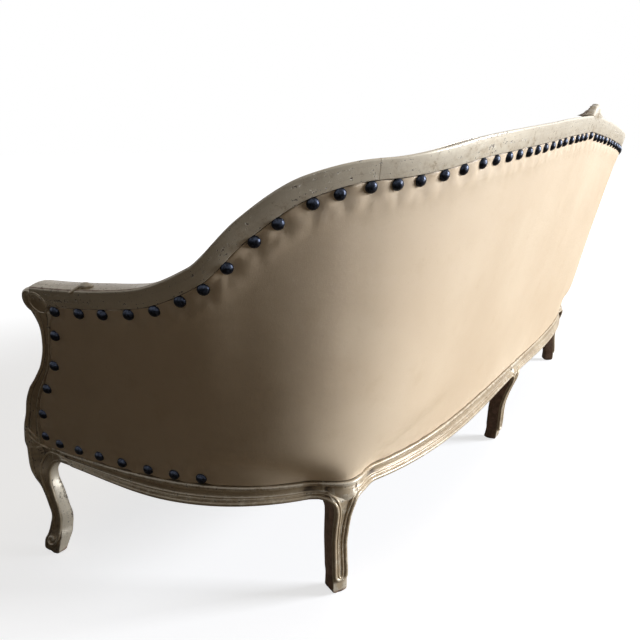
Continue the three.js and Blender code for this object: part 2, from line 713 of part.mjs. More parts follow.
function frontSeatRail() {
  const rail = loft(frontStations.filter((x) => x >= 0).map((x) => {
    const at = new THREE.Vector2(x, frontY(x));
    const drop = apronDrop(x / frontLegX, frontApronDepth);
    const ring = seatRailRing(at, towardsFront, seatRailThickness, skinGap, leatherFootHeight, drop);
    return [...ring, new THREE.Vector3(at.x, at.y + skinGap, railTopHeight)];
  }));
  return cut(rail, frontMiddleSpace, frontCornerSpace);
}

// Uprights of the back and of the arms, between the seat rail and the top rail's tongue
const uprightInset = leatherThickness + 6 * skinGap;
const cornerUprightAngle = 48 * degree;
const uprightHeadGap = 5 * skinGap;
const uprightInner = tongueInner - 4 * skinGap;
const quarterUprightAngle = 68 * degree;
const armUprightAngle = 31 * degree;

function speedAt(angle) {
  return planPoint(angle + angleStep, 0).distanceTo(planPoint(angle - angleStep, 0)) / (2 * angleStep);
}

function upright(angle) {
  const half = uprightWidth / 2 / speedAt(angle);
  return loft([0, 0.5, 1].map((share) => {
    const place = (at, inward) =>
      betweenLines(at, railTopHeight + seatGap, -tongueDrop - uprightHeadGap, share, inward);
    return [
      place(angle - half, uprightInset),
      place(angle, uprightInset),
      place(angle + half, uprightInset),
      place(angle + half, uprightInner),
      place(angle, uprightInner),
      place(angle - half, uprightInner),
    ];
  }));
}

// Outside leather: one sheet from arm post to arm post, from the rail's ledge to the top rail
function outsideLeather() {
  const rows = [0, 0.34, 0.67, 1];
  const sheet = symmetricLoft(allStations.map((angle) => {
    const column = (inward) => [
      ...rows.map((share) => betweenLines(angle, leatherFootHeight, -tongueDrop, share, inward)),
      liftedPoint(angle, nailDrop - seatGap, inward),
    ];
    return [...column(0), ...column(leatherThickness).reverse()];
  }));
  const beforeLeft = beforePost(seatGap);
  return cut(sheet, beforeLeft, mirrored(mergeVertices(stripped(beforeLeft.clone()))));
}

// Inside covers: a hessian on the frame, and a stuffed, leather covered pad on the hessian
const deckHeight = railTopHeight + webThickness + 2 * seatGap;
const seatEdgeRise = 98; // edge of the seat above the rail's top
const seatEdgeHeight = railTopHeight + seatEdgeRise;
const hessianInset = tongueInner + 3 * skinGap;
const padInset = hessianInset + hessianThickness + 2 * skinGap;
const padThickness = 62;
// [share of the height, share of the pad's thickness]
const padShares = [[0, 0.6], [0.12, 0.86], [0.32, 1], [0.6, 0.9], [0.84, 0.64], [0.96, 0.36], [1, 0.2]];
const padEndShare = 0.62; // thickness left where a pad is drawn in at its ends
const padEndReach = 150 / (seatHalfWidth + seatRearDepth);
const padLift = nailDrop - lipDrop - 3 * skinGap;

function hessian(angles) {
  return loft(angles.map((angle) => {
    const column = (inward) =>
      [0, 0.5, 1].map((share) => betweenLines(angle, deckHeight, padLift, share, inward));
    return [...column(hessianInset), ...column(hessianInset + hessianThickness).reverse()];
  }));
}

function insidePad(angles) {
  const first = angles[0];
  const last = angles[angles.length - 1];
  return loft(angles.map((angle) => {
    const fromEnd = Math.min(angle - first, last - angle) / padEndReach;
    const fullness = THREE.MathUtils.lerp(padEndShare, 1, Math.sin(quarterTurn * Math.min(fromEnd, 1)));
    const outer = [0, 0.5, 1].map((share) => betweenLines(angle, deckHeight, padLift, share, padInset));
    const inner = padShares.map(([share, thick]) =>
      betweenLines(angle, deckHeight, padLift, share, padInset + padThickness * thick * fullness));
    return [...outer, ...inner.reverse()];
  }));
}

const seamHalf = skinGap / (seatHalfWidth + seatRearDepth);
// The arm pads start beside the posts, which they are then cut to
const armPadStations = [...leadStations.slice(2), ...armStations.slice(0, -1), railJoint - seamHalf];
const backPadStations = [railJoint + seamHalf, ...crestStations.slice(1, -1), Math.PI - railJoint - seamHalf];
const behindPost = () => beforePost(postTongue + 2 * skinGap);

// Seat: webbing across the rails, and the stuffed leather seat with its crown
const seatCrown = 44;
const seatClearance = 2.5;
const strapWidth = 75;
const strapPitch = 180;
const webInset = 39;

const outlineLegShare = 0.8; // where the outline turns its front corner, behind the front leg's face
const frameOutlineStart = armAngle(frontLine + frontLegSize * outlineLegShare, leatherFootHeight);

// Plan outline inside the seat frame, by how far inside the frame's outer face it runs
function frameOutline(inset, frontInset) {
  const start = frameOutlineStart;
  const wall = stationsBetween(start, Math.PI - start).map((angle) =>
    planPoint(angle, 0).addScaledVector(planNormal(angle), -inset));
  const halfFront = seatHalfWidth - inset;
  const front = [-halfFront, ...frontStations.slice(1, -1), halfFront]
    .map((x) => new THREE.Vector2(x, frontY(x) + frontInset));
  return [...wall, ...front];
}

function seatWebbing() {
  const low = railTopHeight + seatGap;
  const sheet = prism(frameOutline(webInset, webInset), low, low + webThickness);
  const half = (strapPitch - strapWidth) / 2;
  const middleY = (frontLine + seatRearDepth) / 2;
  const farX = seatHalfWidth - webInset - strapWidth - half;
  const farY = seatRearDepth - webInset - strapWidth / 2 - half;
  const openings = [];
  for (let y = middleY - 1.5 * strapPitch; y < farY; y += strapPitch) {
    for (let x = -5 * strapPitch; x < farX; x += strapPitch) {
      const nearCorner = Math.abs(x) > 4.5 * strapPitch && y > middleY + strapPitch;
      if (Math.abs(x) < farX && !nearCorner) {
        const near = new THREE.Vector3(x - half, y - half, 0);
        openings.push(box(near, new THREE.Vector3(x + half, y + half, 2 * low)));
      }
    }
  }
  return cut(sheet, ...openings);
}

const seatPadStart = sideRailStart;
const seatCornerRound = 16;
const seatBulge = 5; // how far its front stands out beyond the front rail
// [how far its top is drawn in, as a share of the seat's half width, share of the crown]
const seatTopShares = [[0.015, 0.25], [0.055, 0.52], [0.14, 0.82], [0.25, 1]];

// How far inside the wall the seat's edge runs: beside the arm post, then beside the inside pads
function seatInset(angle, height) {
  const lineHeight = besideNailLine(angle, padLift).height;
  const share = (height - deckHeight) / (lineHeight - deckHeight);
  const padInner = padInset + padThickness * smoothAt(padShares, share);
  const postRear = postEdges(height).rear + postTongue;
  const behind = THREE.MathUtils.smoothstep(wallPoint(angle, height).y, postRear - 2 * postTongue,
    postRear - postTongue);
  return THREE.MathUtils.lerp(postThickness, padInner, behind) + seatClearance;
}

function seatRing(height, frontOut) {
  const wall = stationsBetween(seatPadStart, Math.PI - seatPadStart)
    .map((angle) => wallPoint(angle, height, seatInset(angle, height)));
  const corner = wall[0].x - seatCornerRound;
  const front = spaced(-corner, corner, 12)
    .map((x) => new THREE.Vector3(x, frontY(x) - frontOut, height));
  return [...wall, ...front];
}

function seatPad() {
  const bottom = deckHeight + seatGap;
  const edge = seatRing(seatEdgeHeight, 0);
  const middleY = (frontLine + seatRearDepth) / 2;
  const top = seatTopShares.map(([inset, up]) => edge.map((p) => new THREE.Vector3(
    p.x * (1 - inset),
    middleY + (p.y - middleY) * (1 - (2 * inset * seatHalfWidth) / seatRearDepth),
    seatEdgeHeight + seatCrown * up,
  )));
  return loft([
    seatRing(bottom, 0),
    seatRing(THREE.MathUtils.lerp(bottom, seatEdgeHeight, 0.35), seatBulge),
    seatRing(THREE.MathUtils.lerp(bottom, seatEdgeHeight, 0.75), seatBulge),
    edge,
    ...top,
  ]);
}

// Under the seat: cross stretchers, corner blocks and a dust cover
const stretcherWidth = 34;
const stretcherFootRise = 11; // above the rails' foot
const stretcherTopDrop = 12; // below the rails' top
const stretcherFoot = railFootHeight + stretcherFootRise;
const stretcherTop = railTopHeight - stretcherTopDrop;
const stretcherDish = 16;
const stretcherShare = 0.535; // of the way from the middle to a front leg
const stretcherX = stretcherShare * frontLegX;
const blockFootRise = 17;
const blockTopDrop = 8;
const blockFoot = railFootHeight + blockFootRise;
const blockTop = railTopHeight - blockTopDrop;
const blockReach = 120;

function rearInnerY(x) {
  const share = Math.abs(x) / seatHalfWidth;
  return seatRearDepth * (1 - share ** planSquareness) ** (1 / planSquareness) - seatRailThickness;
}

function stretcher(x) {
  const half = stretcherWidth / 2;
  const front = Math.max(frontY(x - half), frontY(x + half)) + seatRailThickness + seatGap;
  const rear = Math.min(rearInnerY(x - half), rearInnerY(x + half)) - 4 * skinGap;
  return loft(spaced(0, 1, 8).map((share) => {
    const y = THREE.MathUtils.lerp(front, rear, share);
    const top = stretcherTop - stretcherDish * Math.sin(Math.PI * share);
    return [[-half, stretcherFoot], [half, stretcherFoot], [half, top], [-half, top]]
      .map(([side, height]) => new THREE.Vector3(x + side, y, height));
  }));
}

const insideFrame = (low, high) =>
  prism(frameOutline(seatRailThickness + skinGap, seatRailThickness + skinGap), low, high);

function rearCornerBlock() {
  const size = 4 * blockReach;
  const centre = cornerLegAt.clone().addScaledVector(cornerLegOut, size / 2 - blockReach);
  const slab = new THREE.BoxGeometry(size, size, blockTop - blockFoot);
  slab.rotateZ(Math.atan2(cornerLegOut.y, cornerLegOut.x));
  slab.translate(centre.x, centre.y, (blockTop + blockFoot) / 2);
  return cut(common(insideFrame(blockFoot, blockTop), slab), cornerLegSpace);
}

function frontCornerBlock() {
  const side = seatHalfWidth - seatRailThickness;
  const corner = new THREE.Vector2(side, frontLine);
  const outline = [
    corner,
    new THREE.Vector2(side, frontLine + 2 * blockReach),
    new THREE.Vector2(side - 2 * blockReach, frontLine),
  ];
  return cut(common(insideFrame(blockFoot, blockTop), prism(outline, blockFoot, blockTop)), frontCornerSpace);
}

const dustCoverTop = stretcherFoot - seatGap;
const dustCoverThickness = 1.5;

function dustCover() {
  return cut(insideFrame(dustCoverTop - dustCoverThickness, dustCoverTop), frontCornerSpace,
    mirrored(mergeVertices(stripped(frontCornerSpace.clone()))));
}

// The whole sofa
add('crest_rail', crestRail(), gilt);
add('crest_ornament', crestOrnament(), gilt);
addPair('arm_rail', armRail(), gilt);
addPair('arm_bud', armBud(), gilt);
addPair('arm_post', armPost(), gilt);
addPair('leg_front', frontCornerLeg(), gilt);
addPair('leg_rear', railLeg(cornerLegAt, cornerLegOut, 0, seatRailThickness + noseReach,
  noseReach * legTopShare), gilt);
add('leg_rear_centre', railLeg(middleLegAt, middleLegOut, middleLegLean, seatRailThickness, 0), gilt);
add('leg_front_centre', railLeg(frontMiddleAt, towardsFront, middleLegLean, seatRailThickness, 0), gilt);
addPair('seat_rail_side', sideSeatRail(), gilt);
addPair('seat_rail_back', backSeatRail(), gilt);
addPair('seat_rail_front', frontSeatRail(), gilt);
add('back_upright_centre', upright(quarterTurn), beech);
addPair('back_upright', upright(quarterUprightAngle), beech);
addPair('corner_upright', upright(cornerUprightAngle), beech);
addPair('arm_upright', upright(armUprightAngle), beech);
add('seat_stretcher_centre', stretcher(0), beech);
addPair('seat_stretcher', stretcher(stretcherX), beech);
addPair('rear_corner_block', rearCornerBlock(), beech);
addPair('front_corner_block', frontCornerBlock(), beech);
add('seat_webbing', seatWebbing(), jute);
add('dust_cover', dustCover(), lining);
add('back_hessian', hessian(backPadStations), jute);
addPair('arm_hessian', cut(hessian(armPadStations), behindPost()), jute);
add('outside_leather', outsideLeather(), leather);
add('inside_back_pad', insidePad(backPadStations), leather);
addPair('inside_arm_pad', cut(insidePad(armPadStations), behindPost()), leather);
add('seat_pad', seatPad(), leather);

// The origin lies under the middle of the sofa, on the floor
const bounds = new THREE.Box3().setFromObject(sofa, true);
sofa.position.y = -(bounds.min.y + bounds.max.y) / 2;

export default sofa;
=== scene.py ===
# The visual model of a cabriole sofa: a gilt show-wood frame on carved legs, whose raked back sweeps down
# into scrolled arms, in tan leather held by large domed nails. Metres, +Z up, and the sofa faces -Y.
import math
import bmesh
import bpy
from mathutils import Matrix, Vector, noise
from mathutils.kdtree import KDTree


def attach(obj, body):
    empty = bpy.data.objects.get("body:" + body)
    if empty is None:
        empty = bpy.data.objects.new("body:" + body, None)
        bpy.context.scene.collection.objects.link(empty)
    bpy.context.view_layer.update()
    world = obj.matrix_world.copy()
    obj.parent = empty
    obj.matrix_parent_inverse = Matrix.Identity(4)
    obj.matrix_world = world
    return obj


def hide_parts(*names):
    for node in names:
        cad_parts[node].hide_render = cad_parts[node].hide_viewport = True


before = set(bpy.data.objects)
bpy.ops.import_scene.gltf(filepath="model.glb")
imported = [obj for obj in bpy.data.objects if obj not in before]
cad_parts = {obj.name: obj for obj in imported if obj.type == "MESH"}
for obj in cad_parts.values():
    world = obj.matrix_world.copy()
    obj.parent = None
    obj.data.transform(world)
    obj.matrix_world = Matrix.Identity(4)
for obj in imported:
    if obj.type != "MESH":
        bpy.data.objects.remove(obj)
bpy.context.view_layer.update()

scene = bpy.context.scene

# Seat rails. The frame starts from its seat rails, beech under pale gold leaf. They follow the curved
# wall, and carry a ledge bead under the leather, a cove, and a bead along the lower edge.
# Distances along y are from the front line of the wall's plan, which lies this far from the origin.
FRONT_LINE_Y = -0.553904
SEAT_HALF_WIDTH = 1.082
SEAT_REAR_DEPTH = 0.840
ARM_FLARE = 0.089
BACK_RAKE = 0.154
ARM_ADVANCE = 0.069
SQUARENESS = 4.35
NOSE_REACH = 0.031
NOSE_ANGLE = math.radians(48)
NOSE_HALF_ANGLE = math.radians(3.8)
NOSE_SPREAD = math.radians(13)
LEATHER_FOOT = 0.250
RAIL_FOOT = 0.215
ARM_LINE = 0.581
CREST_LINE = 0.891
QUARTER = math.pi / 2
STEP = math.radians(0.2)
SHARP = math.radians(50)
RELIEF_REACH = 0.012
SWEEP = ((0.17, 0), (0.23, 0.012), (0.28, 0.03), (0.33, 0.068), (0.385, 0.214), (0.428, 0.473),
         (0.471, 0.657), (0.514, 0.731), (0.54, 0.743), (0.581, 0.779), (0.628, 0.834), (0.7, 0.88),
         (0.77, 0.914), (0.85, 0.951), (1, 1))


def between(start, end, share):
    return start + (end - start) * share


def smooth_share(value, low, high):
    share = min(max((value - low) / (high - low), 0), 1)
    return share * share * (3 - 2 * share)


def read(table, where, column=1):
    """A table's value along a smooth curve that never overshoots its rows."""
    if where <= table[0][0]:
        return table[0][column]
    if where >= table[-1][0]:
        return table[-1][column]
    row = max(k for k in range(len(table) - 1) if where >= table[k][0])

    def slope(k):
        return (table[k + 1][column] - table[k][column]) / (table[k + 1][0] - table[k][0])

    def tangent(k):
        if k in (0, len(table) - 1):
            return slope(min(k, len(table) - 2))
        before, after = slope(k - 1), slope(k)
        return 0 if before * after <= 0 else 2 * before * after / (before + after)

    span = table[row + 1][0] - table[row][0]
    t = (where - table[row][0]) / span
    low, rise = table[row][column], table[row + 1][column] - table[row][column]
    start, end = tangent(row) * span, tangent(row + 1) * span
    return low + start * t + (3 * rise - 2 * start - end) * t * t + (start + end - 2 * rise) * t ** 3


def plan_point(angle, rise):
    """A place on the wall's plan: angle 0 is the front of the left arm, a quarter turn the back's middle."""
    c, s = math.cos(angle), math.sin(angle)
    radius = (abs(c) ** SQUARENESS + abs(s) ** SQUARENESS) ** (-1 / SQUARENESS)
    half = SEAT_HALF_WIDTH + ARM_FLARE * rise
    depth = SEAT_REAR_DEPTH + (BACK_RAKE + ARM_ADVANCE) * rise
    return Vector((half * radius * c, FRONT_LINE_Y + depth * radius * s - ARM_ADVANCE * rise))


def plan_normal(angle):
    c, s = math.cos(angle), math.sin(angle)
    across = math.copysign(abs(c) ** (SQUARENESS - 1), c) / SEAT_HALF_WIDTH
    back = math.copysign(abs(s) ** (SQUARENESS - 1), s) / SEAT_REAR_DEPTH
    return Vector((across, back)).normalized()


def folded(angle):
    """The angle's twin on the left half of the sofa."""
    return min(angle, math.pi - angle)


def nose_out(angle, rise):
    """How far the wall comes out over a rear corner leg, in a fold that widens as it fades upwards."""
    half = NOSE_HALF_ANGLE + NOSE_SPREAD * smooth_share(rise, 0, 0.2)
    away = abs(folded(angle) - NOSE_ANGLE) / half
    fade = 1 - min(max(rise / 0.9, 0), 1)
    return NOSE_REACH / 2 * fade * (1 + math.cos(math.pi * min(away, 1)))


nail_heights = {}


def nail_height(angle):
    if angle not in nail_heights:
        nail_heights[angle] = between(ARM_LINE, CREST_LINE, read(SWEEP, folded(angle) / QUARTER))
    return nail_heights[angle]


def wall_point(angle, height, inward=0.0):
    rise = (height - LEATHER_FOOT) / (nail_height(angle) - LEATHER_FOOT)
    nose = nose_out(angle, rise) if inward < 0.03 else 0
    plan = plan_point(angle, rise) + plan_normal(angle) * (nose - inward)
    return Vector((plan.x, plan.y, height))


slopes = {}


def beside_line(angle, lift):
    """Angle and height of the place that lies square to the nail line, at a lift above it."""
    if angle not in slopes:
        before = wall_point(angle - STEP, nail_height(angle - STEP))
        after = wall_point(angle + STEP, nail_height(angle + STEP))
        run = (after.xy - before.xy).length
        slopes[angle] = (math.atan2(after.z - before.z, run), run / (2 * STEP))
    slope, speed = slopes[angle]
    return angle - lift * math.sin(slope) / speed, nail_height(angle) + lift * math.cos(slope)


def lifted(angle, lift, inward):
    place, height = beside_line(angle, lift)
    return wall_point(place, height, inward)


def between_lines(angle, foot, lift, share, inward):
    """A place between a level foot line and a line that follows the nails."""
    top_angle, top_height = beside_line(angle, lift)
    return wall_point(between(angle, top_angle, share), between(foot, top_height, share), inward)


def speed_at(angle):
    return (plan_point(angle + STEP, 0) - plan_point(angle - STEP, 0)).length / (2 * STEP)


def rounded(corners, steps=4):
    """A closed outline through corners of (x, y, radius), each turned by a short curve."""
    outline = []
    for k, (x, y, radius) in enumerate(corners):
        here = Vector((x, y))
        before = Vector(corners[k - 1][:2]) - here
        after = Vector(corners[(k + 1) % len(corners)][:2]) - here
        if radius == 0:
            outline.append((x, y))
            continue
        reach = min(radius, before.length / 2.05, after.length / 2.05)
        start, end = here + before.normalized() * reach, here + after.normalized() * reach
        for i in range(steps + 1):
            t = i / steps
            turned = start * (1 - t) ** 2 + here * 2 * t * (1 - t) + end * t * t
            outline.append((turned.x, turned.y))
    return outline


def new_mesh(name, bm):
    mesh = bpy.data.meshes.new(name)
    bm.to_mesh(mesh)
    bm.free()
    return mesh


def new_object(name, bm):
    piece = bpy.data.objects.new(name, new_mesh(name, bm))
    scene.collection.objects.link(piece)
    return piece


def set_surface(piece, finish):
    """Gives a piece its only material, and smooth faces."""
    piece.data.materials.clear()
    piece.data.materials.append(finish)
    piece.data.polygons.foreach_set("use_smooth", [True] * len(piece.data.polygons))


def keep(name, bm, finish):
    """Makes a piece of a finished mesh, with sharp edges where it turns far, and its place in the frame."""
    for edge in bm.edges:
        edge.smooth = not edge.is_manifold or edge.calc_face_angle() < SHARP
    piece = new_object(name, bm)
    set_surface(piece, finish)
    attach(piece, "root")
    return piece


def mark(bm, name, value_at):
    """Writes a value for each point into an attribute that a finish reads."""
    layer = bm.verts.layers.float.new(name)
    for vert in bm.verts:
        vert[layer] = value_at(vert)


def mark_relief(bm):
    """Writes how far each point lies on an edge, above 0, or in a groove, below 0, for paler rubbed leaf with
    a painted highlight on edges, and dirt in grooves.
    """
    def bend_at(vert):
        bend = [edge.calc_face_angle_signed(0) / max(edge.calc_length(), 0.001)
                for edge in vert.link_edges if edge.is_manifold]
        return min(max(sum(bend) / max(len(bend), 1) * RELIEF_REACH, -1), 1)

    bm.normal_update()
    mark(bm, "relief", bend_at)
    relief = bm.verts.layers.float["relief"]
    for _ in range(2):
        softer = [(vert[relief] + sum(edge.other_vert(vert)[relief] for edge in vert.link_edges))
                  / (1 + len(vert.link_edges)) for vert in bm.verts]
        for vert, value in zip(bm.verts, softer):
            vert[relief] = value


def running_lengths(path):
    lengths = [0.0]
    for before, after in zip(path, path[1:]):
        lengths.append(lengths[-1] + (after - before).length)
    return lengths


def laid_out(stations, outline_at):
    """A closed length of timber through outlines of as many points each, capped at both ends."""
    bm = bmesh.new()
    across = len(outline_at(stations[0]))
    bmesh.ops.create_grid(bm, x_segments=len(stations) - 1, y_segments=across, size=0.5)
    outlines = [outline_at(station) for station in stations]
    along = running_lengths([outline[0] for outline in outlines])
    round_it = running_lengths(outlines[len(outlines) // 2])
    grain = bm.verts.layers.float_vector.new("grain")
    for vert in bm.verts:
        row = round((vert.co.x + 0.5) * (len(stations) - 1))
        column = round((vert.co.y + 0.5) * across) % across
        vert.co = outlines[row][column]
        vert[grain] = (along[row], round_it[column], 0)
    bmesh.ops.remove_doubles(bm, verts=bm.verts, dist=1e-6)
    bmesh.ops.holes_fill(bm, edges=[edge for edge in bm.edges if edge.is_boundary], sides=0)
    bmesh.ops.recalc_face_normals(bm, faces=bm.faces)
    return bm


def timber(stations, outline_at):
    """The same, with its edges and grooves marked for the leaf."""
    bm = laid_out(stations, outline_at)
    mark_relief(bm)
    return bm


def stations(start, end, count):
    return [between(start, end, i / count) for i in range(count + 1)]


def joined(*shells):
    """Several closed shells as one piece."""
    whole = bmesh.new()
    for shell in shells:
        mesh = new_mesh("shell", shell)
        whole.from_mesh(mesh)
        bpy.data.meshes.remove(mesh)
    return whole


def on_other_side(bm):
    """Turns a mesh of the left side into its twin on the right."""
    bmesh.ops.scale(bm, verts=bm.verts, vec=(-1, 1, 1))
    bmesh.ops.reverse_faces(bm, faces=bm.faces)


def gilt(name, bm, *nodes):
    """A gilt piece, which stands for those CAD nodes."""
    piece = keep(name, bm, gilt_wood)
    if nodes:
        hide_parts(*nodes)


def gilt_side(side, name, make, *nodes):
    """A gilt piece of the sofa's left side, or its twin on the right."""
    bm = make()
    if side == "right":
        on_other_side(bm)
    gilt(f"{name}_{side}", bm, *(f"{node}_{side}" for node in nodes))


def gilt_pair(name, make, *nodes):
    gilt_side("left", name, make, *nodes)
    gilt_side("right", name, make, *nodes)


class Tone:
    """A socket of a finish. Signs between tones and numbers add Math nodes, and add() any other node."""

    def __init__(self, tree, socket=None):
        self.tree = tree
        self.socket = socket

    def add(self, kind, settings=None, values=None, out=0):
        node = self.tree.nodes.new(kind)
        for name, value in (settings or {}).items():
            if name == "stops":
                stops = node.color_ramp.elements
                while len(stops) < len(value):
                    stops.new(1)
                for stop, (place, colour) in zip(stops, value):
                    stop.position = place
                    stop.color = colour
            else:
                setattr(node, name, value)
        for name, value in (values or {}).items():
            if isinstance(value, Tone):
                self.tree.links.new(value.socket, node.inputs[name])
            else:
                node.inputs[name].default_value = value
        return Tone(self.tree, node.outputs[out] if len(node.outputs) else None)

    def math(self, operation, *values):
        return self.add("ShaderNodeMath", {"operation": operation}, dict(enumerate(values)))

    def __add__(self, other):
        return self.math("ADD", self, other)

    def __sub__(self, other):
        return self.math("SUBTRACT", self, other)

    def __rsub__(self, other):
        return self.math("SUBTRACT", other, self)

    def __mul__(self, other):
        return self.math("MULTIPLY", self, other)

    def clipped(self, low, high):
        """0 below low, 1 above high, and a soft step between them."""
        settings = {"interpolation_type": "SMOOTHSTEP"}
        return self.add("ShaderNodeMapRange", settings, {0: self, 1: low, 2: high})

    def over(self, base, top):
        """The colour top where this tone is 1, over the colour base where it is 0."""
        return self.add("ShaderNodeMix", {"data_type": "RGBA"}, {0: self, 6: base, 7: top}, out=2)

    def clouds(self, place, scale, detail=4.0, roughness=0.55, stretch=None):
        if stretch:
            place = self.add("ShaderNodeMapping", None, {"Vector": place, "Scale": stretch})
        values = {"Vector": place, "Scale": scale, "Detail": detail, "Roughness": roughness}
        return self.add("ShaderNodeTexNoise", None, values)

    def attribute(self, name):
        return self.add("ShaderNodeAttribute", {"attribute_name": name}, out=2)


def colour(red, green, blue):
    """A colour as it is read off a screen, 0 to 255, for a node."""
    def light(value):
        value /= 255
        return value / 12.92 if value <= 0.04045 else ((value + 0.055) / 1.055) ** 2.4
    return (light(red), light(green), light(blue), 1)


def new_finish(name):
    finish = bpy.data.materials.new(name)
    finish.use_nodes = True
    tree = finish.node_tree
    tree.nodes.clear()
    start = Tone(tree)
    place = start.add("ShaderNodeTexCoord", out=3)
    return finish, start, place


def set_finish(start, values, height, depth):
    """Closes a finish with its shader and a bump of that depth."""
    bump = start.add("ShaderNodeBump", None, {"Height": height, "Distance": depth, "Strength": 1.0})
    surface = start.add("ShaderNodeBsdfPrincipled", None, {**values, "Normal": bump})
    start.add("ShaderNodeOutputMaterial", None, {"Surface": surface})


def gilt_finish():
    """Champagne leaf over red-brown bole: brushed along the timber, rubbed paler on its edges and beads,
    partly as a painted highlight, chipped in small flecks, dark with age in the grooves, and brown where
    a piece marks it, which on the crest ornament's carved front is painted shade."""
    finish, start, place = new_finish("gilt_wood")
    relief = start.attribute("relief")
    bare = start.attribute("bare")
    grain = start.add("ShaderNodeAttribute", {"attribute_name": "grain"}, out=1)
    broad = start.clouds(place, 6, 5, 0.62)
    fine = start.clouds(place, 70, 6, 0.7)
    flecks = start.clouds(place, 190, 4, 0.74)
    brushed = start.clouds(grain, 30, 5, 0.7, (0.16, 4.5, 1))
    leaf = broad.clipped(0.36, 0.66).over(colour(174, 156, 129), colour(201, 184, 156))
    leaf = (brushed.clipped(0.47, 0.68) * 0.6).over(leaf, colour(140, 112, 82))
    leaf = (fine.clipped(0.5, 0.7) * 0.4).over(leaf, colour(226, 211, 184))
    # Convex edges and beads turn paler: partly rubbed leaf, partly a painted highlight.
    edge = (relief + (fine - 0.5) * 0.9).clipped(0.14, 0.44)
    leaf = (edge * 0.6).over(leaf, colour(232, 224, 206))
    worn = fine * 0.5 + broad * 0.2 + flecks * 0.6 + brushed * 0.45
    chipped = worn.clipped(0.965, 1.01)
    leaf = (chipped * 0.85).over(leaf, colour(64, 46, 33))
    groove = (0 - relief + (flecks - 0.5) * 0.3).clipped(0.2, 0.6)
    leaf = (groove * 0.85).over(leaf, colour(58, 42, 29))
    brown = fine.clipped(0.35, 0.65).over(colour(166, 134, 114), colour(122, 97, 80))
    brown = (flecks.clipped(0.62, 0.72) * 0.5).over(brown, colour(150, 126, 98))
    # Brown wherever a piece marks it: stained sides, worn soles and eyes, the rails' top edges, and painted
    # shade on the crest ornament's carved front.
    gone = (bare + (fine - 0.5) * 0.5 + (broad - 0.5) * 0.3).clipped(0.4, 0.7)
    leaf = gone.over(leaf, brown)
    dull = chipped * 0.3 + groove * 0.3 + fine * 0.2 + gone * 0.18 + 0.2
    metal = (1 - gone) * (1 - chipped) * (1 - groove * 0.8) * 0.14
    height = fine * 0.35 + flecks * 0.1 - chipped * 0.4 + brushed * 0.15
    values = {"Base Color": leaf, "Roughness": dull, "Metallic": metal}
    set_finish(start, values, height, 0.0009)
    return finish


gilt_wood = gilt_finish()

MOULD_REACH = 0.009
RAIL_DEPTH = 0.048
APRON_DEPTH = 0.009
FRONT_APRON = 0.026
FRONT_LIFT = 0.010
BLOCK_HALF = 0.031
SEAM = 0.0003
RAIL_TOP = 0.300
LEG_ANGLE = math.radians(47.4)
SIDE_START = math.radians(13.2)
FRONT_RAIL_Y = FRONT_LINE_Y + 0.145
FRONT_BOW = 0.034
FRONT_LEG_X = 1.046
# Outward reach and the way down, as shares, with a rounding in metres
RAIL_OUTLINE = ((-0.3, 0, 0), (0.42, 0, 0.002), (0.62, 0.07, 0.003), (0.5, 0.2, 0.002), (0.2, 0.25, 0.003),
                (0.06, 0.34, 0.004), (0.1, 0.5, 0.002), (0.34, 0.53, 0.001), (0.38, 0.62, 0.001),
                (0.62, 0.68, 0.0005), (0.7, 0.96, 0.002), (0.3, 1, 0.001))
# The same corners where the rail's face runs out onto a leg's knee
KNEE_OUTLINE = ((-0.3, 0, 0), (0.42, 0, 0.002), (0.62, 0.07, 0.003), (0.56, 0.2, 0.002), (0.5, 0.25, 0.003),
                (0.56, 0.34, 0.004), (0.68, 0.46, 0.004), (0.82, 0.58, 0.004), (0.92, 0.68, 0.004),
                (0.98, 0.8, 0.004), (0.99, 0.95, 0.001), (0.8, 1, 0.001))


def apron(share, depth):
    return depth * math.sin(math.pi * min(max(share, 0), 1)) ** 2


def side_drop(angle):
    """How far a side rail's lower edge hangs in its middle, or lifts, below 0, towards the front leg."""
    share = (angle - SIDE_START) / (LEG_ANGLE - SIDE_START)
    return apron(share, APRON_DEPTH) - FRONT_LIFT * (1 - smooth_share(share, 0, 0.5))


def back_drop(angle):
    return apron((angle - LEG_ANGLE) / (QUARTER - LEG_ANGLE), APRON_DEPTH)


def front_drop(x):
    share = abs(x) / FRONT_LEG_X
    return apron(share, FRONT_APRON) - FRONT_LIFT * smooth_share(share, 0.8, 1)


def rail_outline(at, outward, drop, knee=0.0, full=1.0):
    """One outline of a seat rail, from its ledge down its mouldings and round its back."""
    foot = RAIL_FOOT - drop
    corners = []
    for (out, down, turn), (knee_out, knee_down, knee_turn) in zip(RAIL_OUTLINE, KNEE_OUTLINE):
        reach, way = between(out, knee_out, knee), between(down, knee_down, knee)
        radius = between(turn, knee_turn, knee)
        corners.append((reach * MOULD_REACH * full, between(LEATHER_FOOT, foot, way), radius))
    corners += [(-RAIL_DEPTH, foot, 0.004), (-RAIL_DEPTH, RAIL_TOP, 0.003), (-0.006, RAIL_TOP, 0.003)]
    corners += [(-0.006, LEATHER_FOOT + 0.001, 0)]
    return [Vector((at.x + outward.x * out, at.y + outward.y * out, height))
            for out, height in rounded(corners, 3)]


def on_wall(angle):
    """The place and the outward direction of the rails' line."""
    return wall_point(angle, LEATHER_FOOT).xy, plan_normal(angle)


def wall_rail(start, end, drop_at, knee_end=0.0):
    """A rail along the wall, which runs out onto the front leg's knee up to that angle."""
    def outline_at(angle):
        at, outward = on_wall(angle)
        knee = 1 - smooth_share(angle, knee_end - 0.03, knee_end)
        full = between(0.42, 1, smooth_share(angle, knee_end - 0.035, knee_end))
        return rail_outline(at, outward, drop_at(angle), knee, full)
    return timber(stations(start, end, 160), outline_at)


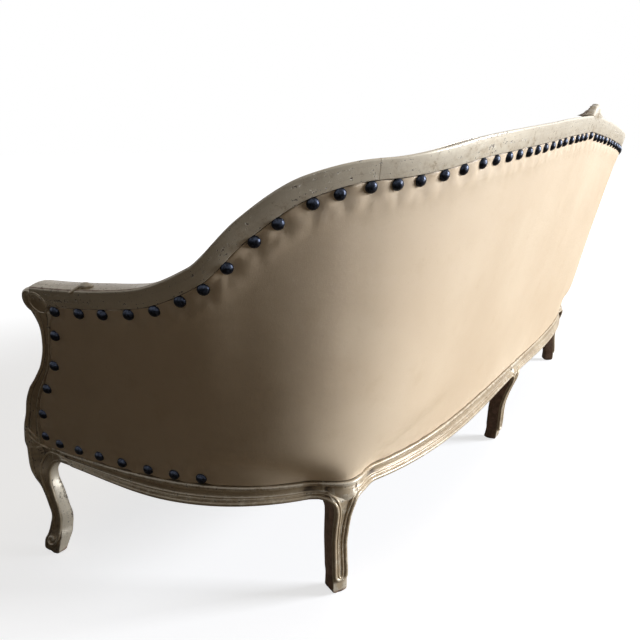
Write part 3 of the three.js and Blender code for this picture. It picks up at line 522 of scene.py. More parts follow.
def front_y(x):
    return FRONT_RAIL_Y - FRONT_BOW / 2 * (1 + math.cos(math.pi * x / FRONT_LEG_X))


def front_rail():
    return timber(stations(BLOCK_HALF + SEAM, FRONT_LEG_X - 0.012, 150),
                  lambda x: rail_outline(Vector((x, front_y(x))), Vector((0, -1)), front_drop(x)))


corner_half = (BLOCK_HALF + SEAM) / speed_at(LEG_ANGLE)
middle_half = (BLOCK_HALF + SEAM) / speed_at(QUARTER)
gilt_pair("seat_rail_side_gilt",
          lambda: wall_rail(SIDE_START - 0.03, LEG_ANGLE - corner_half, side_drop, SIDE_START + 0.02),
          "seat_rail_side")
gilt_pair("seat_rail_back_gilt",
          lambda: wall_rail(LEG_ANGLE + corner_half, QUARTER - middle_half, back_drop), "seat_rail_back")
gilt_pair("seat_rail_front_gilt", front_rail, "seat_rail_front")


# Rear legs and the middle front leg. Each is carved from one billet that also makes the block between
# the rails. Its outer face is gilt, with a raised middle between beads, and its sides are stained brown.
LEG_HALF = 0.027
LEG_DEEP = 0.054
LEG_SWING = 0.020
MIDDLE_LEAN = 0.026
LEG_REACH = 0.011
# Height to the rail's top, swing back from the knee, width and depth, all as shares
LEG_ROWS = ((0, 0.97, 0.42, 0.56), (0.01, 0.93, 0.53, 0.66), (0.03, 0.86, 0.6, 0.72), (0.12, 0.82, 0.6, 0.7),
            (0.19, 0.84, 0.62, 0.74), (0.29, 0.95, 0.6, 0.74), (0.37, 1, 0.605, 0.74),
            (0.47, 0.82, 0.635, 0.77), (0.59, 0.41, 0.67, 0.86), (0.65, 0.15, 0.75, 0.96),
            (0.69, 0.04, 0.88, 1.04), (0.72, 0, 1, 1.08), (0.775, 0.9, 1.04, 1.06))
KNEE_TOP = 0.2295
EDGE_BEAD = 0.0042
INNER_BEAD = 0.0029
BEAD_SUNK = 0.0012
BEAD_RELIEF = 0.2
CORNER_BLOCK_DEPTH = 0.076
MIDDLE_BLOCK_DEPTH = 0.048


def leg_place(at, outward, side, out, height):
    across = Vector((-outward.y, outward.x))
    plan = at + across * side + outward * out
    return Vector((plan.x, plan.y, height))


def leg_reach(height, lean):
    up = height / RAIL_TOP
    return LEG_REACH - LEG_SWING * read(LEG_ROWS, up, 1) - lean * (1 - min(up / 0.72, 1))


def leg_half(height):
    return LEG_HALF * read(LEG_ROWS, height / RAIL_TOP, 2)


def leg_shaft(at, outward, lean, block_depth):
    def outline_at(height):
        half, reach = leg_half(height), leg_reach(height, lean)
        deep = LEG_DEEP * read(LEG_ROWS, height / RAIL_TOP, 3)
        rear = between(reach - deep, -block_depth, smooth_share(height, 0.185, 0.228))
        raised = smooth_share(height, 0.026, 0.038) * between(0.0012, 0, smooth_share(height, 0.18, 0.212))
        flat = max(half - 2 * (EDGE_BEAD + INNER_BEAD), 0.003)
        sunk = reach - 0.0022
        corners = [(-half, reach - 0.006, 0.003), (-half, sunk, 0.002), (-flat, sunk, 0.0008),
                   (-flat + 0.001, sunk + raised, 0.0015), (0, sunk + raised * 1.4, 0.006),
                   (flat - 0.001, sunk + raised, 0.0015), (flat, sunk, 0.0008), (half, sunk, 0.002),
                   (half, reach - 0.006, 0.003), (half, rear, 0.006), (-half, rear, 0.006)]
        return [leg_place(at, outward, side, out, height) for side, out in rounded(corners, 3)]

    bm = laid_out(stations(0, 0.009, 5)[:-1] + stations(0.009, KNEE_TOP, 96), outline_at)
    ease_sole(bm)
    return bm


def ease_sole(bm):
    """Rounds a leg's corners off towards its sole."""
    sole = [vert.co.xy for vert in bm.verts if vert.co.z < 0.0001]
    middle = sum(sole, Vector((0, 0))) / len(sole)
    for vert in bm.verts:
        inset = 0.007 * (1 - min(vert.co.z / 0.010, 1)) ** 2
        inward = (middle - vert.co.xy).normalized() * inset
        vert.co.x += inward.x
        vert.co.y += inward.y


def rail_leg(at, outward, lean, block_depth, rail_at):
    """A leg's shaft, and over its knee a short length of the rails' section that runs out onto it."""
    def knee_outline(side):
        place, normal = rail_at(side)
        return rail_outline(place, normal, 0, smooth_share(BLOCK_HALF - abs(side), 0.001, 0.014))

    knee = laid_out(stations(-BLOCK_HALF - SEAM * 2, BLOCK_HALF + SEAM * 2, 44), knee_outline)
    bm = joined(leg_shaft(at, outward, lean, block_depth), knee)
    mark_relief(bm)

    def bare_at(vert):
        back = leg_reach(min(vert.co.z, KNEE_TOP), lean) - (vert.co.xy - at).dot(outward)
        above = smooth_share(vert.co.z, 0.222, 0.235)
        sole = 1 - smooth_share(vert.co.z, 0.006, 0.026)
        return max(smooth_share(back, 0.0045, 0.0075) * (1 - above), sole * 0.62)

    mark(bm, "bare", bare_at)
    return bm


def bead(path, radius, taper=False):
    """A carved bead along a path of places, half sunk in the wood that it runs on."""
    curve = bpy.data.curves.new("bead", "CURVE")
    curve.dimensions = "3D"
    curve.bevel_depth = radius
    curve.bevel_resolution = 2
    curve.use_fill_caps = True
    spline = curve.splines.new("POLY")
    spline.points.add(len(path) - 1)
    for k, (point, place) in enumerate(zip(spline.points, path)):
        point.co = (*place, 1)
        if taper:
            point.radius = min(1, 0.25 + (len(path) - 1 - k) / (0.25 * len(path)))
    carrier = bpy.data.objects.new("bead", curve)
    scene.collection.objects.link(carrier)
    mesh = bpy.data.meshes.new_from_object(carrier.evaluated_get(bpy.context.evaluated_depsgraph_get()))
    bpy.data.objects.remove(carrier)
    bm = bmesh.new()
    bm.from_mesh(mesh)
    bmesh.ops.recalc_face_normals(bm, faces=bm.faces)
    return bm


def beads(runs):
    """Beads as one piece, each run a path, a radius and whether its end tapers."""
    bm = joined(*(bead(*run) for run in runs))
    # Beads count as edges, so the finish paints them paler: rubbed leaf with a painted highlight.
    mark(bm, "relief", lambda vert: BEAD_RELIEF)
    return bm


def evenly(path, pitch=0.0025):
    """The same path in even steps."""
    lengths = running_lengths(path)
    count = max(int(lengths[-1] / pitch), 2)
    steps, k = [], 0
    for i in range(count + 1):
        want = lengths[-1] * i / count
        while k < len(path) - 2 and lengths[k + 1] < want:
            k += 1
        span = max(lengths[k + 1] - lengths[k], 1e-9)
        steps.append(path[k].lerp(path[k + 1], (want - lengths[k]) / span))
    for _ in range(3):
        eased = [(a + b * 2 + c) / 4 for a, b, c in zip(steps, steps[1:], steps[2:])]
        steps = steps[:1] + eased + steps[-1:]
    return steps


def turned(before, corner, after, steps=12):
    """A quarter turn from one run of a bead into the next."""
    return [before * (1 - t) ** 2 + corner * (2 * t * (1 - t)) + after * t * t for t in stations(0, 1, steps)]


# The beads that a rail hands on to its legs: outward reach and way down on the rail, radius, and how far
# in from a leg's edge they run
RAIL_BEADS = ((0.62, 0.835, 0.0046, EDGE_BEAD), (0.36, 0.655, 0.0026, EDGE_BEAD * 2 + INNER_BEAD))


def wall_rail_bead(angle, out, down):
    twin = folded(angle)
    foot = RAIL_FOOT - (side_drop(twin) if twin < LEG_ANGLE else back_drop(twin))
    at, outward = on_wall(angle)
    at += outward * (out * MOULD_REACH)
    return Vector((at.x, at.y, between(LEATHER_FOOT, foot, down)))


def front_rail_bead(x, out, down):
    foot = RAIL_FOOT - front_drop(x)
    return Vector((x, front_y(x) - out * MOULD_REACH, between(LEATHER_FOOT, foot, down)))


def shaft_run(at, outward, lean, side, inset, top, foot):
    """Down one edge of a leg's face."""
    return [leg_place(at, outward, side * (leg_half(z) - inset), leg_reach(z, lean) - BEAD_SUNK, z)
            for z in stations(top, foot, 50)]


def rail_leg_beads(at, outward, lean, runs_at):
    """The rails' beads, led down a leg's edges and round the tongue above its sole, in one run each."""
    runs = []
    for out, down, radius, inset in RAIL_BEADS:
        level = between(LEATHER_FOOT, RAIL_FOOT, down)
        foot, turn = 0.030 + inset * 0.6, 0.011 - inset * 0.4
        halves = []
        for side in (-1, 1):
            rail = runs_at(side, out, down, leg_half(level) - inset + 0.016)
            shaft = shaft_run(at, outward, lean, side, inset, level - 0.015, foot + turn)
            corner = leg_place(at, outward, side * (leg_half(level - 0.008) - inset + 0.001),
                               LEG_REACH - BEAD_SUNK, level)
            halves.append(rail + turned(rail[-1], corner, shaft[0])[1:] + shaft[1:])
        half = leg_half(foot + turn) - inset
        tongue = []
        for swing in stations(math.pi, 0, 12)[1:-1]:
            height = foot + turn * (1 - math.sin(swing))
            out_here = leg_reach(height, lean) - BEAD_SUNK
            tongue.append(leg_place(at, outward, half * math.cos(swing), out_here, height))
        runs.append((evenly(halves[0] + tongue + halves[1][::-1]), radius))
    return beads(runs)


corner_out = plan_normal(LEG_ANGLE)
corner_at = plan_point(LEG_ANGLE, 0) + corner_out * nose_out(LEG_ANGLE, 0)
middle_out = Vector((0, 1))
middle_at = plan_point(QUARTER, 0)
front_out = Vector((0, -1))
front_at = Vector((0, front_y(0)))
side_middle, back_middle = (SIDE_START + LEG_ANGLE) / 2, (LEG_ANGLE + QUARTER) / 2


def along_wall(leg_angle):
    """The rail's place and direction at a distance to one side of a leg on the wall."""
    return lambda side: on_wall(leg_angle + side / speed_at(leg_angle))


def along_front(side):
    return Vector((side, front_y(side))), Vector((0, -1))


def wall_runs(leg_angle, middle_before, middle_after):
    """The rail's beads on either side of a leg, from the middle of a rail to where they turn down."""
    def runs_at(side, out, down, leave):
        middle = middle_before if side < 0 else middle_after
        near = leg_angle + side * leave / speed_at(leg_angle)
        return [wall_rail_bead(angle, out, down) for angle in stations(middle, near, 140)]
    return runs_at


def front_runs(side, out, down, leave):
    return [front_rail_bead(side * x, out, down) for x in stations(FRONT_LEG_X / 2, leave, 140)]


gilt_pair("leg_rear_gilt",
          lambda: rail_leg(corner_at, corner_out, 0, CORNER_BLOCK_DEPTH, along_wall(LEG_ANGLE)), "leg_rear")
gilt_pair("corner_leg_beads",
          lambda: rail_leg_beads(corner_at, corner_out, 0, wall_runs(LEG_ANGLE, side_middle, back_middle)))
for name, at, outward, rail_at, runs_at in (
        ("leg_rear_centre", middle_at, middle_out, along_wall(QUARTER),
         wall_runs(QUARTER, back_middle, math.pi - back_middle)),
        ("leg_front_centre", front_at, front_out, along_front, front_runs)):
    gilt(f"{name}_gilt", rail_leg(at, outward, MIDDLE_LEAN, MIDDLE_BLOCK_DEPTH, rail_at), name)
    gilt(f"{name}_beads", rail_leg_beads(at, outward, MIDDLE_LEAN, runs_at))


# Outside leather. One hide of tan leather is drawn round the arms and the back, over a thin lining, and
# nailed along its top, its front edges and part of its foot, where it dimples at each nail.
LEATHER_THICK = 0.003
NAIL_DROP = 0.010
POST_FOOT_Y = FRONT_LINE_Y + 0.084
POST_SET_BACK = 0.200
POST_TOP = 0.577
POST_LINE_TOP = 0.62
# Height of the post, and how far back its front and rear edges lie there, all as shares
POST_ROWS = ((0, 0.165, 0.32), (0.06, 0.135, 0.335), (0.14, 0.12, 0.37), (0.3, 0.23, 0.47),
             (0.44, 0.4, 0.625), (0.54, 0.58, 0.755), (0.655, 0.76, 0.9), (0.8, 0.9, 1.025),
             (0.91, 0.945, 1.11), (1, 0.9, 1.19), (1.04, 0.862, 1.12), (1.08, 0.862, 1.02))
# Where the nails stand, in degrees round the wall, along the top line of the left half
TOP_NAILS = (20.81, 23.61, 26.09, 28.6, 30.89, 33.01, 34.82, 36.57, 38.48, 40.09, 42.38, 44.18, 46.33, 48.29,
             50.15, 52.3, 54.27, 56.5, 58.32, 60.41, 62.3, 64.46, 66.51, 68.69, 71.1, 73.58, 75.89, 78.91,
             81.89, 84.21, 86.64)
# Nails beside the arm post and along the foot of the arm, in degrees and metres
EDGE_NAILS = ((19.81, 0.534), (18.17, 0.466), (15.51, 0.406), (12.63, 0.337), (11.14, 0.278), (13.59, 0.268),
              (17.15, 0.267), (20.6, 0.267), (24.11, 0.266), (27.68, 0.264), (30.91, 0.264), (33.94, 0.263))
PUCKER_REACH = 0.07
NAIL_FOLD = 0.0005
TACK_FOLD = 0.0003
# Height or depth, radius and width of the rings in the leather round a nail or a tack
FOLDS = (1, 0.024, 0.014)
NAIL_SLACK = (0.0009, 0.032, 0.012)
NAIL_DIMPLE = (0.0024, 0, 0.015)
TACK_DIMPLE = (0.0012, 0, 0.009)
# Small hidden tacks that gather the leather along the back's foot, in degrees
FOOT_TACKS = (48.9, 50.2, 52.4, 54.6, 56.9, 59.1, 62.8, 66.2, 70.1, 74.4, 79.0, 84.1, 88.6)


def post_edges(height):
    share = (height - LEATHER_FOOT) / (POST_TOP - LEATHER_FOOT)
    return tuple(POST_FOOT_Y + POST_SET_BACK * read(POST_ROWS, share, column) for column in (1, 2))


def angle_at(y, height):
    """Angle of the place on the left arm's wall at a y and a height."""
    low, high = 0.0, QUARTER
    for _ in range(30):
        middle = (low + high) / 2
        if wall_point(middle, height).y < y:
            low = middle
        else:
            high = middle
    return (low + high) / 2


def nail_places():
    half = [(math.radians(a), None) for a in TOP_NAILS] + [(math.radians(a), z) for a, z in EDGE_NAILS]
    places = half + [(math.pi - a, z) for a, z in half] + [(QUARTER, None)]
    return [(a, nail_height(a) if z is None else z) for a, z in places]


def wall_normal(angle, height):
    along = wall_point(angle + STEP, height) - wall_point(angle - STEP, height)
    up = wall_point(angle, height + 0.002) - wall_point(angle, height - 0.002)
    return along.cross(up).normalized()


nails = [(wall_point(a, z), wall_normal(a, z)) for a, z in nail_places()]
tacks = [wall_point(angle, LEATHER_FOOT + 0.006) for a in FOOT_TACKS
         for angle in (math.radians(a), math.pi - math.radians(a))]
post_lines = [(z, angle_at(post_edges(min(z, POST_TOP))[1] + 0.0005, z))
              for z in stations(LEATHER_FOOT, POST_LINE_TOP, 60)]


def leather_start(height):
    return read(post_lines, height)


def leather_point(way, up, inward):
    """way runs from the left arm post round to the right one, and up from the rail to the top rail."""
    half_way = min(way, 1 - way) * 2
    angle = between(math.radians(9), QUARTER, half_way)
    place = between_lines(angle, LEATHER_FOOT + 0.0003, NAIL_DROP - 0.0003, up, 0)
    for _ in range(3):
        start = leather_start(place.z)
        angle_now = between(start, QUARTER, half_way)
        place = between_lines(angle_now, LEATHER_FOOT + 0.0003, NAIL_DROP - 0.0003, up, inward)
    if way > 0.5:
        place.x = -place.x
    return place


def outside_leather():
    """The hide as a fine grid, closer at its edges, which tuck in and carry a painted shadow line."""
    bm = bmesh.new()
    columns, rows = 540, 90
    bmesh.ops.create_grid(bm, x_segments=columns, y_segments=rows, size=0.5)
    close = [0, 0.0012, 0.0028, 0.005, 0.008]
    heights = close + stations(0.012, 0.988, rows - 10) + [1 - share for share in reversed(close)]
    tucks = (0.0022, 0.0009, 0.0002)
    grime = bm.verts.layers.float.new("grime")
    for vert in bm.verts:
        row = round((vert.co.y + 0.5) * rows)
        from_edge = min(row, rows - row)
        tuck = tucks[from_edge] if from_edge < len(tucks) else 0
        vert.co = leather_point(vert.co.x + 0.5, heights[row], tuck)
        # The outermost rows are marked for a painted shadow line, where the leather meets the rails.
        vert[grime] = (1, 0.85, 0.3)[from_edge] if from_edge < 3 else 0
    bmesh.ops.recalc_face_normals(bm, faces=bm.faces)
    if sum(face.normal.y for face in bm.faces if face.calc_center_median().y > 0.3) < 0:
        bmesh.ops.reverse_faces(bm, faces=bm.faces)
    return bm


def ring(away, height, radius, width):
    """Height of a soft ring round a nail, or of a dimple at it, at a distance from it."""
    return height * math.exp(-((away - radius) / width) ** 2)


def pucker(bm):
    """Draws the leather in at each nail and tack, with short folds that run from it and slack between."""
    tree = KDTree(len(nails) + len(tacks))
    for k, place in enumerate([place for place, normal in nails] + tacks):
        tree.insert(place, k)
    tree.balance()
    bm.normal_update()
    moves = []
    for vert in bm.verts:
        move = 0.0
        for place, k, away in tree.find_range(vert.co, PUCKER_REACH):
            offset = vert.co - place
            swing = math.atan2(offset.z, offset.x - offset.y)
            fold = math.sin(swing * 6 + k * 2.1) * ring(away, *FOLDS)
            if k < len(nails):
                move += ring(away, *NAIL_SLACK) - ring(away, *NAIL_DIMPLE)
                move += NAIL_FOLD * fold
            else:
                move += TACK_FOLD * fold - ring(away, *TACK_DIMPLE)
        wave = noise.noise(vert.co * 6) * 0.0012 + noise.noise(vert.co * 17) * 0.0004
        moves.append(move + wave)
    for vert, move in zip(bm.verts, moves):
        vert.co += vert.normal * move


def leather_finish():
    """Satin tan leather: a fine pebble, faint mottling, rubbed darker places, and a painted shadow line at
    its edges.
    """
    finish, start, place = new_finish("tan_leather")
    broad = start.clouds(place, 2.6, 4, 0.55)
    middle = start.clouds(place, 17, 5, 0.6)
    pores = start.add("ShaderNodeTexVoronoi", {"feature": "DISTANCE_TO_EDGE"},
                      {"Vector": place, "Scale": 620.0}, out=0)
    creases = start.clouds(place, 240, 3, 0.6)
    hide = broad.clipped(0.32, 0.7).over(colour(222, 199, 168), colour(232, 211, 181))
    hide = (middle.clipped(0.55, 0.75) * 0.25).over(hide, colour(206, 180, 142))
    hide = (creases.clipped(0.6, 0.75) * 0.2).over(hide, colour(186, 158, 124))
    # Painted shadow: a near-black line along the leather's edges, where it meets the rails.
    hide = (start.attribute("grime") * 0.9).over(hide, colour(36, 27, 21))
    gloss = middle * 0.12 + creases * 0.1 + 0.27
    height = pores.clipped(0.0, 0.18) * 0.5 + creases * 0.4
    set_finish(start, {"Base Color": hide, "Roughness": gloss, "IOR": 1.45}, height, 0.00035)
    return finish


tan_leather = leather_finish()
bm = outside_leather()
pucker(bm)
leather_area = sum(face.calc_area() for face in bm.faces)
covering = keep("outside_leather_cover", bm, tan_leather)
thickness = covering.modifiers.new("thickness", "SOLIDIFY")
thickness.thickness = LEATHER_THICK
thickness.offset = -1
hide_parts("outside_leather")


# Nails. Large forged nails with domed heads of dark gunmetal stand along the leather's top, down beside
# the arm posts and along the foot of each arm.
NAIL_RADIUS = 0.0108
NAIL_HEIGHT = 0.0082
NAIL_SUNK = 0.0012


def nail_finish():
    finish, start, place = new_finish("gunmetal")
    tarnish = start.clouds(place, 240, 4, 0.6)
    dark = tarnish.clipped(0.4, 0.65).over(colour(26, 30, 40), colour(56, 63, 78))
    rough = tarnish * 0.24 + 0.2
    set_finish(start, {"Base Color": dark, "Metallic": 0.85, "Roughness": rough}, tarnish, 0.0003)
    return finish


gunmetal = nail_finish()


def nail_heads():
    bm = bmesh.new()
    for place, normal in nails:
        turn = Vector((0, 0, 1)).rotation_difference(normal).to_matrix().to_4x4()
        made = bmesh.ops.create_uvsphere(bm, u_segments=14, v_segments=10, radius=1,
                                         matrix=Matrix.Identity(4))["verts"]
        gone = [vert for vert in made if vert.co.z < -0.01]
        kept = [vert for vert in made if vert.co.z >= -0.01]
        bmesh.ops.delete(bm, geom=gone, context="VERTS")
        bmesh.ops.scale(bm, verts=kept, vec=(NAIL_RADIUS, NAIL_RADIUS, NAIL_HEIGHT))
        bmesh.ops.transform(bm, verts=kept, matrix=Matrix.Translation(place - normal * NAIL_SUNK) @ turn)
    bmesh.ops.holes_fill(bm, edges=[edge for edge in bm.edges if edge.is_boundary], sides=0)
    bmesh.ops.recalc_face_normals(bm, faces=bm.faces)
    return bm


keep("nail_heads", nail_heads(), gunmetal)


# Top rail. Two arm rails and a crest rail of gilt beech, butted together behind the arms, cap the covers.
# Their outer face is plain and darker brown along its top edge, and their inner edge is moulded.
ARM_START = math.radians(18.6)
RAIL_JOINT = math.radians(46.8)
JOINT_HALF = 0.0003
ARM_FACE = 0.034
CREST_FACE = 0.043
ARM_RAIL_WIDTH = 0.055
CREST_RAIL_WIDTH = 0.047
RAIL_PROUD = 0.002
ARM_CROWN = 0.006
CREST_FALL = 0.010
ARM_TOP_END = math.radians(25)
CREST_START = math.radians(38)
TONGUE_DROP = 0.030
FACE_ROWS = ((0.25, 0), (0.39, 0.25), (0.44, 0.55), (0.52, 0.1), (0.58, 0.42), (0.75, 0.82), (1, 1))


def rail_face(angle):
    return between(ARM_FACE, CREST_FACE, read(FACE_ROWS, folded(angle) / QUARTER))


def top_rail_outline(angle, width):
    face = rail_face(angle)
    crown = between(ARM_CROWN, -CREST_FALL, smooth_share(folded(angle), ARM_TOP_END, CREST_START))
    top = NAIL_DROP + face
    corners = [
        (-TONGUE_DROP, 0.0035, 0), (NAIL_DROP, 0.0035, 0), (NAIL_DROP, -RAIL_PROUD, 0.0012),
        (top - 0.0006, -RAIL_PROUD, 0.0055), (top + 0.002 + crown * 0.65, width * 0.35, 0.02),
        (top + 0.0005 + crown, width * 0.72, 0.004), (top - 0.0015 + crown, width * 0.745, 0.001),
        (top - 0.0008 + crown, width * 0.78, 0.0015), (top - face * 0.06 + crown, width * 0.97, 0.006),
        (top - face * 0.24, width * 1.0, 0.006), (NAIL_DROP + face * 0.6, width * 0.95, 0.003),
        (NAIL_DROP + face * 0.52, width * 0.84, 0.003), (NAIL_DROP + face * 0.3, width * 0.78, 0.006),
        (NAIL_DROP + face * 0.08, width * 0.82, 0.002), (NAIL_DROP, width * 0.9, 0.002),
        (NAIL_DROP - face * 0.12, width * 0.92, 0.002), (0, width * 0.84, 0.001), (0, 0.0315, 0),
        (-TONGUE_DROP, 0.0315, 0)]
    return [lifted(angle, lift, inward) for lift, inward in rounded(corners, 3)]


def brown_outer_edge(bm):
    """Marks the rounded top edge of a rail's outer face, which the finish colours darker brown."""
    def bare_at(vert):
        outward = vert.normal.xy.dot(vert.co.xy - Vector((0, FRONT_LINE_Y)))
        on_top = smooth_share(vert.normal.z, 0.3, 0.45) * (1 - smooth_share(vert.normal.z, 0.8, 0.97))
        return 0.8 * on_top if outward > 0.12 else 0

    bm.normal_update()
    mark(bm, "bare", bare_at)


def crest_rail():
    bm = timber(stations(RAIL_JOINT + JOINT_HALF, math.pi - RAIL_JOINT - JOINT_HALF, 420),
                lambda angle: top_rail_outline(angle, CREST_RAIL_WIDTH))
    brown_outer_edge(bm)
    return bm


def arm_rail():
    def outline_at(angle):
        share = (angle - ARM_START) / (RAIL_JOINT - ARM_START)
        outline = top_rail_outline(angle, between(ARM_RAIL_WIDTH, CREST_RAIL_WIDTH, share))
        for place in outline:
            place.z = max(place.z, POST_TOP + SEAM)
        return outline
    bm = timber(stations(ARM_START, RAIL_JOINT - JOINT_HALF, 190), outline_at)
    brown_outer_edge(bm)
    return bm


gilt("crest_rail_gilt", crest_rail(), "crest_rail")
gilt_pair("arm_rail_gilt", arm_rail, "arm_rail")

# Arm scrolls. Each arm rail ends in a thick roll with rounded edges, turned on the same curve as the arm.
# A carved oval ring stands on its outer face, round a worn eye, and the post's front runs up under it.
SCROLL_Y = FRONT_LINE_Y + 0.2785
SCROLL_HEIGHT = 0.5985
SCROLL_RADIUS = 0.0265
RING_Y = FRONT_LINE_Y + 0.2985
RING_HEIGHT = 0.5985
RING_LONG = 0.0225
RING_SHORT = 0.0185
RING_TILT = math.radians(24)
EYE_WORN = 0.42


def arm_face_x(y, height):
    return wall_point(angle_at(y, height), height).x


def arm_skin(y, height, proud=0.0):
    """A place on the arm's outer face, at a distance out of the wall."""
    return Vector((arm_face_x(y, height) + proud, y, height))


def arm_scroll():
    outside = arm_face_x(SCROLL_Y, SCROLL_HEIGHT) + RAIL_PROUD
    radius, width = SCROLL_RADIUS, ARM_RAIL_WIDTH
    outline = [(0, 0), (radius * 0.8, 0), (radius * 0.94, 0.002), (radius, 0.008),
               (radius, width - 0.016), (radius * 0.97, width - 0.009), (radius * 0.89, width - 0.0038),
               (radius * 0.76, width - 0.0008), (radius * 0.6, width), (0, width)]
    bm = bmesh.new()
    verts = [bm.verts.new((outside - width + along, SCROLL_Y, SCROLL_HEIGHT + up)) for up, along in outline]
    for before, after in zip(verts, verts[1:]):
        bm.edges.new((before, after))
    bmesh.ops.subdivide_edges(bm, edges=bm.edges[:], cuts=2)
    bmesh.ops.spin(bm, geom=bm.verts[:] + bm.edges[:], cent=(0, SCROLL_Y, SCROLL_HEIGHT), axis=(1, 0, 0),
                   angle=math.tau, steps=72, use_merge=True)
    bmesh.ops.remove_doubles(bm, verts=bm.verts, dist=1e-5)
    bmesh.ops.recalc_face_normals(bm, faces=bm.faces)
    for vert in bm.verts:
        vert.co.x += arm_face_x(vert.co.y, vert.co.z) + RAIL_PROUD - outside
    mark_relief(bm)
    return bm


def ring_place(swing, scale, proud):
    long, short = RING_LONG * scale * math.cos(swing), RING_SHORT * scale * math.sin(swing)
    y = RING_Y + long * math.cos(RING_TILT) + short * math.sin(RING_TILT)
    height = RING_HEIGHT - long * math.sin(RING_TILT) + short * math.cos(RING_TILT)
    return arm_skin(y, height, proud)


def scroll_ring():
    rings = [[ring_place(swing, scale, RAIL_PROUD - 0.0004) for swing in stations(0, math.tau, 72)]
             for scale in (1, 0.82)]
    return beads([(rings[0], 0.0016), (rings[1], 0.0009)])


def scroll_eye():
    bm = bmesh.new()
    bmesh.ops.create_circle(bm, cap_ends=True, cap_tris=True, segments=48, radius=1)
    bmesh.ops.subdivide_edges(bm, edges=bm.edges[:], cuts=3, use_grid_fill=True)
    for vert in bm.verts:
        away = vert.co.xy.length
        proud = RAIL_PROUD + 0.0006 - 0.0012 * away ** 6
        vert.co = ring_place(math.atan2(vert.co.y, vert.co.x), 0.8 * away, proud)
    bmesh.ops.solidify(bm, geom=bm.faces[:], thickness=0.002)
    bmesh.ops.recalc_face_normals(bm, faces=bm.faces)
    mark(bm, "bare", lambda vert: EYE_WORN)
    return bm


for side in ("left", "right"):
    for name, make in (("arm_scroll", arm_scroll), ("scroll_ring", scroll_ring), ("scroll_eye", scroll_eye)):
        gilt_side(side, name, make)


# Arm posts. Each is one carved length of gilt beech, an S from the front leg up to the arm's scroll, with
# beads and hollows along it. It covers the front edge of the leather.
POST_THICK = 0.046
POST_TONGUE = 0.024
POST_FLARE = 0.0245
POST_CARVED = 0.003
# Way from the front edge to the rear one, and depth below the face, both as shares
POST_FACE = ((0, 2), (0.06, 0.6), (0.12, -0.1), (0.17, -0.4), (0.22, -0.1), (0.27, 0.7), (0.33, 1.1),
             (0.4, 0.8), (0.5, 0.55), (0.6, 0.8), (0.67, 1.1), (0.73, 0.7), (0.79, -0.1), (0.84, -0.4),
             (0.9, -0.1), (0.95, 0.5), (1, 0.7))


def post_flare(height):
    """How far the post's front edge stands out over the leg's knee."""
    return POST_FLARE * (1 - smooth_share(height, LEATHER_FOOT, 0.330))


def arm_post():
    def outline_at(level):
        height = max(level, LEATHER_FOOT)
        front, rear = post_edges(height)
        flare = post_flare(height)
        carved = POST_CARVED * between(0.25, 1, smooth_share(height, LEATHER_FOOT, 0.285))

        def place(y, inward):
            return Vector((arm_face_x(y, height) - inward, y, level))

        face = [place(between(front, rear, along), carved * read(POST_FACE, along) - flare * (1 - along))
                for along in stations(0, 1, 44)]
        return face + [place(rear, 0.0035), place(rear + POST_TONGUE, 0.0035),
                       place(rear + POST_TONGUE, POST_THICK - 0.003), place(rear, POST_THICK),
                       place(front + 0.008, POST_THICK), place(front + 0.003, POST_THICK - 0.002),
                       place(front, POST_THICK - 0.006), place(front - 0.001, 0.02), place(front, 0.009)]
    return timber(stations(LEATHER_FOOT - 0.003, POST_TOP + 0.026, 96), outline_at)


gilt_pair("arm_post_gilt", arm_post, "arm_post")


# Front corner legs. A square cabriole leg under each arm post swings out to the corner. Its two outer
# faces are gilt between beads, which come from the rails and curl into a volute over the foot.
LEG_BLOCK = 0.072
FRONT_KNEE = 0.024
FRONT_SWING = 0.023
KNEE_CORNER = 0.4
FACE_SUNK = 0.0024
FACE_EDGE = 0.0052
TRACE_SUNK = 0.0006
COLLAR_BEAD = 0.0021
# Height, swing back from the knee, width and depth, all as shares
FRONT_LEG_ROWS = ((0, 0.44, 0.27, 0.46), (0.02, 0.38, 0.33, 0.6), (0.05, 0.36, 0.37, 0.64),
                  (0.11, 0.42, 0.43, 0.66), (0.17, 0.66, 0.47, 0.59), (0.25, 0.86, 0.5, 0.49),
                  (0.34, 1, 0.46, 0.46), (0.44, 0.88, 0.43, 0.47), (0.62, 0.55, 0.44, 0.49),
                  (0.72, 0.2, 0.5, 0.54), (0.8, 0.03, 0.58, 0.615), (0.86, 0, 0.74, 0.73),
                  (0.9, 0, 0.9, 0.896), (0.94, 0, 1, 1))
# The traced beads as y and height on the outer face of the left leg and its post
EDGE_TRACE = ((-0.3402, 0.2307), (-0.3602, 0.2278), (-0.3742, 0.2234), (-0.3843, 0.2156), (-0.392, 0.2033),
              (-0.3938, 0.1884), (-0.3922, 0.1694), (-0.3878, 0.1476), (-0.3837, 0.1283), (-0.3805, 0.1064),
              (-0.3816, 0.083), (-0.3814, 0.0606), (-0.3828, 0.0407), (-0.3871, 0.0284), (-0.3981, 0.0206),
              (-0.4085, 0.0215), (-0.4127, 0.0295), (-0.4083, 0.0368), (-0.3994, 0.0381), (-0.3956, 0.0333))
INNER_TRACE = ((-0.3692, 0.2395), (-0.3889, 0.2390), (-0.4029, 0.2325), (-0.4123, 0.2213),
               (-0.4172, 0.2057), (-0.417, 0.1887), (-0.4131, 0.1678), (-0.4083, 0.1465), (-0.4043, 0.1254),
               (-0.4021, 0.1031), (-0.4023, 0.0819), (-0.4047, 0.064), (-0.4066, 0.052))
